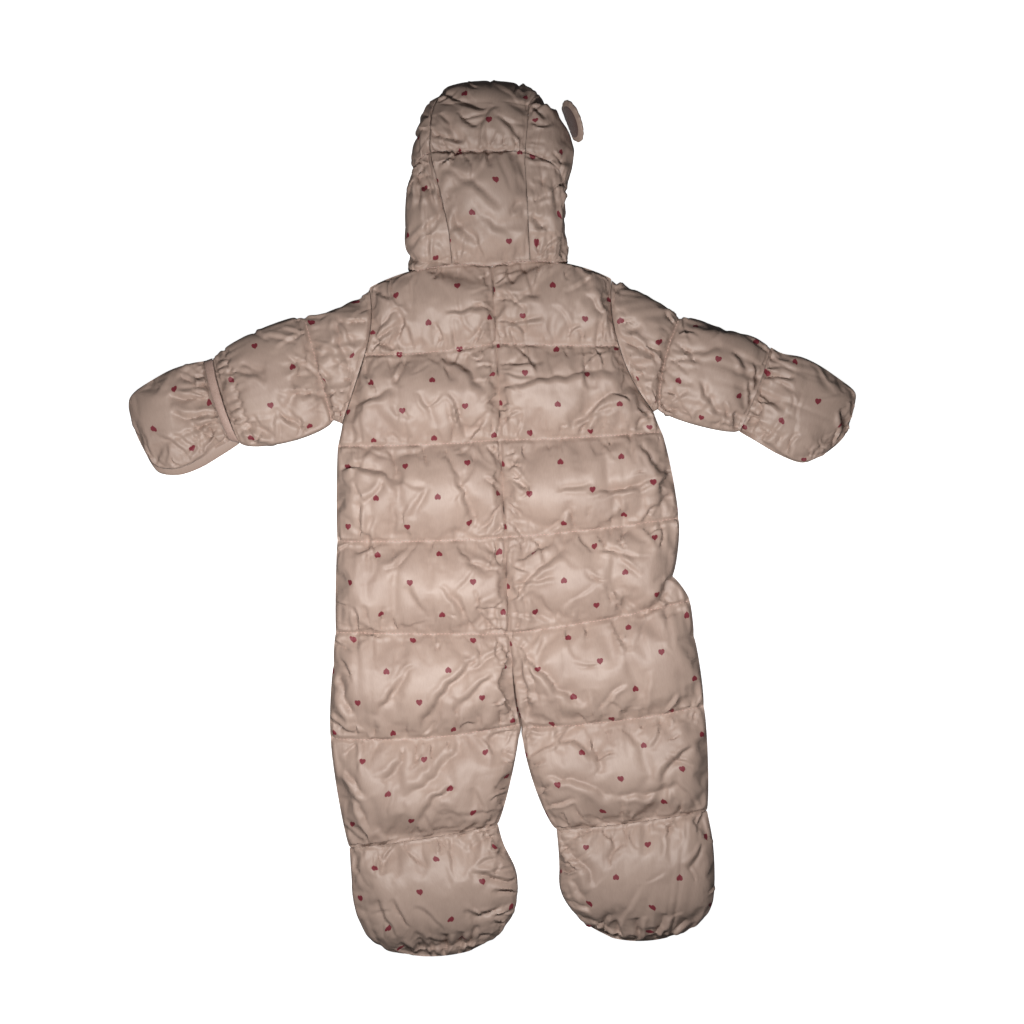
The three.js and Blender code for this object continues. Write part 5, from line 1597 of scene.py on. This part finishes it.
@dataclass(frozen=True)
class Ribbon:
    """The woven binding, the zip's tape and the thread, told apart by colour and rib."""

    name: str
    base: tuple[float, float, float]
    shade: tuple[float, float, float]
    rib: float = 0.9
    rough: float = 0.6

    def make(self) -> bpy.types.Material:
        """Makes the material."""
        dye = Dye(self.name)
        place = dye.node("TexCoord", {}, {}, "Object")
        grain = dye.noise(place, 900, 3, 0.6)
        ribs = dye.node("TexWave", {"bands_direction": "DIAGONAL"}, {"Vector": place, "Scale": 320 / self.rib})
        color = dye.blend(dye.smooth(grain, 0.3, 0.7), self.base, self.shade)
        normal = dye.bump(ribs, 0.3, 0.0002, dye.bump(grain, 0.2, 0.0002))
        return dye.surface(Base_Color=color, Roughness=self.rough, Normal=normal, Sheen_Weight=0.15)


@dataclass(frozen=True)
class BrushedMetal:
    """The warm grey metal of the slider and its pull."""

    base: tuple[float, float, float] = linear(186, 170, 160)
    dark: tuple[float, float, float] = linear(140, 124, 116)

    def make(self) -> bpy.types.Material:
        """Makes the material."""
        dye = Dye("zip_metal")
        place = dye.node("TexCoord", {}, {}, "Object")
        lines = dye.noise(dye.node("Mapping", {}, {"Vector": place, "Scale": (3000, 300, 3000)}), 1, 3, 0.6)
        worn = dye.noise(place, 400, 3)
        color = dye.blend(dye.smooth(worn, 0.4, 0.7), self.base, self.dark)
        rough = 0.28 + lines * 0.12
        return dye.surface(Base_Color=color, Metallic=1.0, Roughness=rough, Normal=dye.bump(lines, 0.1, 0.0001))


@dataclass
class WristBand:
    """The flat binding at the left wrist."""

    sleeve: CutPiece
    flap: CutPiece
    crown: float = 14.5
    thick: float = 1.2

    def build(self, finish: bpy.types.Material) -> bpy.types.Object:
        """Builds the ribbon over the gap between the sleeve and the hand cover."""
        us = stations(70, 0.3)
        edges = self.sleeve.plan(us, self.sleeve.last), self.flap.plan(us, 0)
        outer, inner = [], []
        for t in np.linspace(0, 1, 9):
            plan = mix(edges[0], edges[1], t)
            pucker = 0.35 * wobble(us * 22, 5) * (1 - arch(t)) + 0.25 * wobble(us * 9, 6)
            lift = EDGE_WALL + (self.crown + 1.2 * arch(t)) * np.sqrt(arch(us)) + pucker * arch(us)
            top = LAYER_HEIGHT + SEAM_GAP / 2 + lift
            outer.append(np.column_stack([plan, top]))
            inner.append(np.column_stack([plan, np.maximum(LAYER_HEIGHT, top - self.thick)]))
        outer, inner = np.array(outer), np.array(inner)
        across = lengths(outer, 1)
        zero = np.zeros(across.shape)
        wall = closed_wall("wrist_band", outer, inner, across, zero, zero, np.stack([across, zero], -1), False)
        piece = Pad(wall, "wrist_band_left").raw_object()
        dense(piece)
        piece.data.polygons.foreach_set("use_smooth", [True] * len(piece.data.polygons))
        piece.data.materials.append(finish)
        return piece

    def cut(self) -> tuple[float, float]:
        """The ribbon's width and length, in metres."""
        us = stations(70, 0.3)
        top = LAYER_HEIGHT + EDGE_WALL + (self.crown + 1) * np.sqrt(arch(us))
        middle = np.column_stack([(self.sleeve.plan(us, self.sleeve.last) + self.flap.plan(us, 0)) / 2, top])
        long = float(np.linalg.norm(np.diff(middle, axis=0), axis=1).sum())
        wide = float(np.linalg.norm(self.sleeve.plan(us, self.sleeve.last) - self.flap.plan(us, 0), axis=1).mean())
        return wide * MM, long * MM


def stitches(name: str, lines: Sequence[np.ndarray], finish: bpy.types.Material) -> bpy.types.Object:
    """Sews running stitches along the given lines.

    Args:
        name: The new piece's name.
        lines: Points in millimetres, with the way out of the cloth in their last three columns.
        finish: The thread's material.

    Returns:
        One object with all the stitches.
    """
    pitch, long, radius, sides = 3.4, 2.5, 0.42, 6
    points, faces = [], []
    for line in lines:
        gone = np.concatenate([[0], np.cumsum(np.linalg.norm(np.diff(line[:, :3], axis=0), axis=1))])
        for start in np.arange(1.0, gone[-1] - long, pitch):
            ends = [np.array([np.interp(d, gone, line[:, c]) for c in range(6)]) for d in (start, start + long)]
            way = ends[1][:3] - ends[0][:3]
            way /= np.linalg.norm(way)
            out = ends[0][3:] / np.linalg.norm(ends[0][3:])
            beside = np.cross(way, out)
            base = len(points)
            for share, girth, lift in ((0, 0.35, -0.35), (0.25, 1, 0.12), (0.75, 1, 0.12), (1, 0.35, -0.35)):
                centre = mix(ends[0][:3], ends[1][:3], share) + out * lift
                for k in range(sides):
                    turn = 2 * math.pi * k / sides
                    ring = beside * math.cos(turn) * 1.1 + out * math.sin(turn) * 0.8
                    points.append(centre + ring * radius * girth)
            for r in range(3):
                for k in range(sides):
                    a, b = base + r * sides + k, base + r * sides + (k + 1) % sides
                    faces.append((a, b, b + sides, a + sides)[::-1])
            faces.append(tuple(base + k for k in range(sides)))
            faces.append(tuple(base + 3 * sides + k for k in range(sides))[::-1])
    mesh = bpy.data.meshes.new(name)
    mesh.from_pydata((np.array(points) * MM).tolist(), [], faces)
    mesh.polygons.foreach_set("use_smooth", [True] * len(mesh.polygons))
    mesh.materials.append(finish)
    piece = bpy.data.objects.new(name, mesh)
    bpy.context.scene.collection.objects.link(piece)
    return piece


def sewn_line(piece: bpy.types.Object, column: str, place: float, reach: float = 0.06) -> np.ndarray:
    """Points and normals of a finished pad along one of its sewn lines.

    Args:
        piece: The pad.
        column: What is constant along the line, across or along.
        place: Its value there.
        reach: How far off that value a point may be.

    Returns:
        A row for each point in order: its place in millimetres and its normal.
    """
    mesh = piece.data
    points = np.empty(len(mesh.vertices) * 3)
    mesh.vertices.foreach_get("co", points)
    normals = np.empty(len(mesh.vertices) * 3)
    mesh.vertex_normals.foreach_get("vector", normals)
    points, normals = points.reshape(-1, 3) / MM, normals.reshape(-1, 3)
    other = "across" if column == "along" else "along"
    here = (np.abs(read(mesh, column) - place) < reach) & (read(mesh, "face") > 0.99)
    order = np.argsort(read(mesh, other)[here])
    return np.column_stack([points[here], normals[here]])[order]


@dataclass
class Zip:
    """The front zip's tape and its row of coil teeth; the slider and the pull stay the frame's."""

    top: tuple[float, float]
    end: tuple[float, float]
    short: float = 28.0
    tape_width: float = 9.4
    coil_bottom: float = 11.0
    coil_wide: float = 4.4
    coil_high: float = 1.6
    tape_thick: float = 1.0
    pitch: float = 2.0

    def build(self, tape: bpy.types.Material, coil: bpy.types.Material) -> bpy.types.Object:
        """Builds the tape and its teeth as one piece."""
        top = np.array(self.top)
        way = np.array(self.end) - top
        long = float(np.linalg.norm(way)) - self.short
        way /= np.linalg.norm(way)
        beside = np.array([-way[1], way[0]])
        points, faces, kinds = [], [], []

        def block(s0: float, s1: float, w0: float, w1: float, z0: float, z1: float, kind: int, cut: float) -> None:
            base = len(points)
            middle_w, middle_s = (w0 + w1) / 2, (s0 + s1) / 2
            for z, shrink in ((z0, cut), (z1, 1.0)):
                for s, w in ((s0, w0), (s1, w0), (s1, w1), (s0, w1)):
                    place = top + way * mix(middle_s, s, shrink) + beside * mix(middle_w, w, shrink)
                    points.append((*place, z))
            quads = ((0, 1, 2, 3), (7, 6, 5, 4), (0, 4, 5, 1), (1, 5, 6, 2), (2, 6, 7, 3), (3, 7, 4, 0))
            faces.extend(tuple(base + k for k in quad) for quad in quads)
            kinds.extend([kind] * 6)

        z_tape = self.coil_bottom + self.coil_high
        for side in (-1, 1):
            block(0, long, side * 0.15, side * self.tape_width / 2, z_tape, z_tape + self.tape_thick, 0, 1)
            half = self.coil_wide / 2
            for n in range(int(long / self.pitch) - 1):
                s = (n + (0.75 if side > 0 else 0.25)) * self.pitch
                block(s, s + 0.42 * self.pitch, -side * 0.5, side * half, self.coil_bottom, z_tape + 0.05, 1, 0.7)
        mesh = bpy.data.meshes.new("zip_chain")
        mesh.from_pydata((np.array(points) * MM).tolist(), [], faces)
        mesh.materials.append(tape)
        mesh.materials.append(coil)
        mesh.polygons.foreach_set("material_index", kinds)
        mesh.validate()
        piece = bpy.data.objects.new("zip_chain", mesh)
        bpy.context.scene.collection.objects.link(piece)
        soften = piece.modifiers.new("Edges", "BEVEL")
        soften.width = 0.15 * MM
        soften.segments = 1
        return piece


@dataclass(frozen=True)
class Studio:
    """The floor, the lights and the camera, straight above the back as in the photo."""

    aim: tuple[float, float] = (0.019, 0.0081)
    height: float = 2.0
    view_width: float = 0.973
    view_level: float = 0.018
    sensor: float = 36.0

    def lamp(self, name: str, way: Sequence[float], spread: float, power: float, warm: Sequence[float]) -> None:
        """Adds a far soft light that comes from the given way, spread over that many degrees."""
        light = bpy.data.lights.new(name, "SUN")
        light.angle = math.radians(spread)
        light.energy = power
        light.color = warm
        holder = bpy.data.objects.new(name, light)
        holder.location = way
        holder.rotation_euler = (-Vector(way)).to_track_quat("-Z", "Y").to_euler()
        bpy.context.scene.collection.objects.link(holder)

    def build(self) -> None:
        """Sets the studio up."""
        scene = bpy.context.scene
        lens = self.sensor * (self.height - self.view_level) / self.view_width
        camera = bpy.data.objects.new("camera", bpy.data.cameras.new("camera"))
        camera.data.sensor_width = self.sensor
        camera.data.lens = lens
        camera.location = (*self.aim, self.height)
        scene.collection.objects.link(camera)
        scene.camera = camera
        bpy.ops.mesh.primitive_plane_add(size=12, location=(0, 0, -0.0005))
        floor = bpy.context.object
        floor.name = "studio_floor"
        dye = Dye("floor_white")
        place = dye.node("TexCoord", {}, {}, "Object")
        grain = dye.noise(place, 40, 2)
        floor.data.materials.append(
            dye.surface(
                Base_Color=dye.blend(grain, (0.86, 0.86, 0.87), (0.88, 0.88, 0.88)), Roughness=0.9,
                Emission_Color=(1, 1, 1, 1), Emission_Strength=1.0,
            )
        )
        floor.visible_diffuse = False
        floor.visible_glossy = False
        self.lamp("low", (-0.5, -0.5, 1.0), 16, 0.15, (1.0, 0.98, 0.955))
        near = bpy.data.lights.new("near", "AREA")
        near.shape = "RECTANGLE"
        near.size = 0.55
        near.size_y = 0.12
        near.energy = 4.8
        near.color = (1.0, 0.985, 0.965)
        holder = bpy.data.objects.new("near", near)
        holder.location = (-0.04, -0.06, 0.57)
        scene.collection.objects.link(holder)
        scene.world = bpy.data.worlds.new("studio_world")
        scene.world.use_nodes = True
        back = scene.world.node_tree.nodes["Background"]
        back.inputs["Color"].default_value = (0.9, 0.92, 0.95, 1)
        back.inputs["Strength"].default_value = 0.05
        scene.view_settings.view_transform = "Standard"


@dataclass
class Snowsuit:
    """The whole suit, piece by piece."""

    body: Body = field(default_factory=Body)

    def __post_init__(self) -> None:
        """Lays out the sleeves, the hands, the feet and the hood on the body."""
        body = self.body
        self.sleeve_left = CutPiece(SLEEVE_LEFT, first_row=body.armhole(body.left))
        self.sleeve_right = CutPiece(SLEEVE_RIGHT, first_row=body.armhole(body.right))
        self.flap_left = CutPiece(FLAP_LEFT, smooth=True, end_puff=0.7)
        flap_right = CutPiece(FLAP_RIGHT, smooth=True, end_puff=0.7)
        lower = lambda rows: [replace(r, fill=LOWER_FILL, seam=1 if i == 0 else r.seam) for i, r in enumerate(rows)]
        wrist = Puckers(spacing=11, reach=24, depth=4.6, groove=1.2)
        cuff = Puckers(spacing=8, reach=12, depth=3.6, groove=1.0)
        ruffle = Puckers(spacing=8.5, reach=7, depth=2.6, groove=2.4, groove_width=1.7)
        toe = Puckers(spacing=13, reach=24, depth=4.5, groove=0.0)
        left_wrist = Gather(-248.4, 75.5, -273.1, 151.5, wrist)
        left_cuff = Gather(-240, 73.6, -265.5, 154.4, cuff)
        left_ruffle = Gather(-227.6, 77.5, -253.1, 158.3, ruffle, scallop=1.6)
        right_wrist = Gather(235.1, 85, 264.6, 164.8, wrist)
        self.parts = [
            body,
            Sleeve("sleeve_left", self.sleeve_left, Grain(-16.6, 15.9, -1, True), [left_cuff, left_ruffle]),
            Sleeve("sleeve_right", self.sleeve_right, Grain(21.4, -10.6, 1, True), [right_wrist]),
            Ends(
                "mitten_flap_left", "mitten_palm_left", self.flap_left, CutPiece(PALM_LEFT, smooth=True),
                Grain(34.2, -15.1, -1, True), [left_wrist],
            ),
            Ends(
                "mitten_flap_right", "mitten_palm_right", flap_right, CutPiece(lower(FLAP_RIGHT), smooth=True),
                Grain(-2, -5, 1, True), [right_wrist],
            ),
            Ends(
                "bootie_top_left", "bootie_sole_left", CutPiece(BOOTIE_LEFT, smooth=True, end_puff=0.95),
                CutPiece(lower(BOOTIE_LEFT), smooth=True), Grain(-15, -8, -1),
                [Gather(-70, -414, -10, -409, toe)],
            ),
            Ends(
                "bootie_top_right", "bootie_sole_right", CutPiece(BOOTIE_RIGHT, smooth=True, end_puff=0.95),
                CutPiece(lower(BOOTIE_RIGHT), smooth=True), Grain(23.8, 21.9, 1),
                [Gather(108, -397, 168, -397, toe)],
            ),
            Hood(body),
        ]

    def dress(self, piece: bpy.types.Object, body: str, slot: str, *nodes: str) -> None:
        """Rides a finished piece on its body, hides the frame's parts that it stands for and logs its faces."""
        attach(piece, body)
        if nodes:
            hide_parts(*nodes)
        log.info("%s: %d faces", piece.name, len(piece.data.polygons))

    def build(self) -> None:
        """Builds and dresses every piece."""
        satin = PrintedSatin().make()
        binding = Ribbon("binding_ribbon", linear(178, 151, 140), linear(160, 133, 122)).make()
        thread = Ribbon("thread_rose", linear(196, 166, 154), linear(180, 148, 138), rough=0.5).make()
        tape = Ribbon("zip_tape", linear(168, 137, 126), linear(150, 120, 110), rough=0.8).make()
        coil = Ribbon("zip_coil", linear(176, 146, 134), linear(160, 130, 120), rough=0.35).make()
        # The ears' inner panel is painted shade on a dark sheet, not a cloth of its own.
        ear_shade_panel = EarShadePanel().make()
        metal = BrushedMetal().make()
        pads = [pad for part in self.parts for pad in part.pads()]
        made = [(pad, pad.raw_object()) for pad in pads]
        blow_up([(pad, piece) for pad, piece in made if pad.stuffing])
        lines = []
        for n, (pad, piece) in enumerate(made):
            dense(piece)
            press(pad, piece, Folds(), Crumple(), 50 * n + 3)
            piece.data.materials.clear()
            piece.data.materials.append(satin)
            self.dress(piece, "suit", "quilted_cloth", pad.node)
            lines += [line for line in (sewn_line(piece, "along", seam) for seam in pad.seams) if len(line) > 4]
        sewn = stitches("quilting_stitches", lines, thread)
        self.dress(sewn, "suit", "quilted_cloth")
        for design in (Ear.standing(), Ear.tucked()):
            ear = design.build(satin, ear_shade_panel)
            self.dress(ear, "suit", "ear_cloth", design.name)
        band = WristBand(self.sleeve_left, self.flap_left)
        ribbon = band.build(binding)
        self.dress(ribbon, "suit", "binding", "wrist_band_left")
        wide, long = band.cut()
        chain = Zip(self.body.zip_top, self.body.zip_end).build(tape, coil)
        self.dress(chain, "suit", "zip_tape", "zip_tape")
        for name in ("zip_slider", "zip_pull"):
            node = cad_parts[name]
            for holder in node.material_slots:
                holder.material = metal


def main() -> None:
    """Builds the studio and the suit."""
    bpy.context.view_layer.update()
    Studio().build()
    Snowsuit().build()


if __name__ == "__main__":
    main()
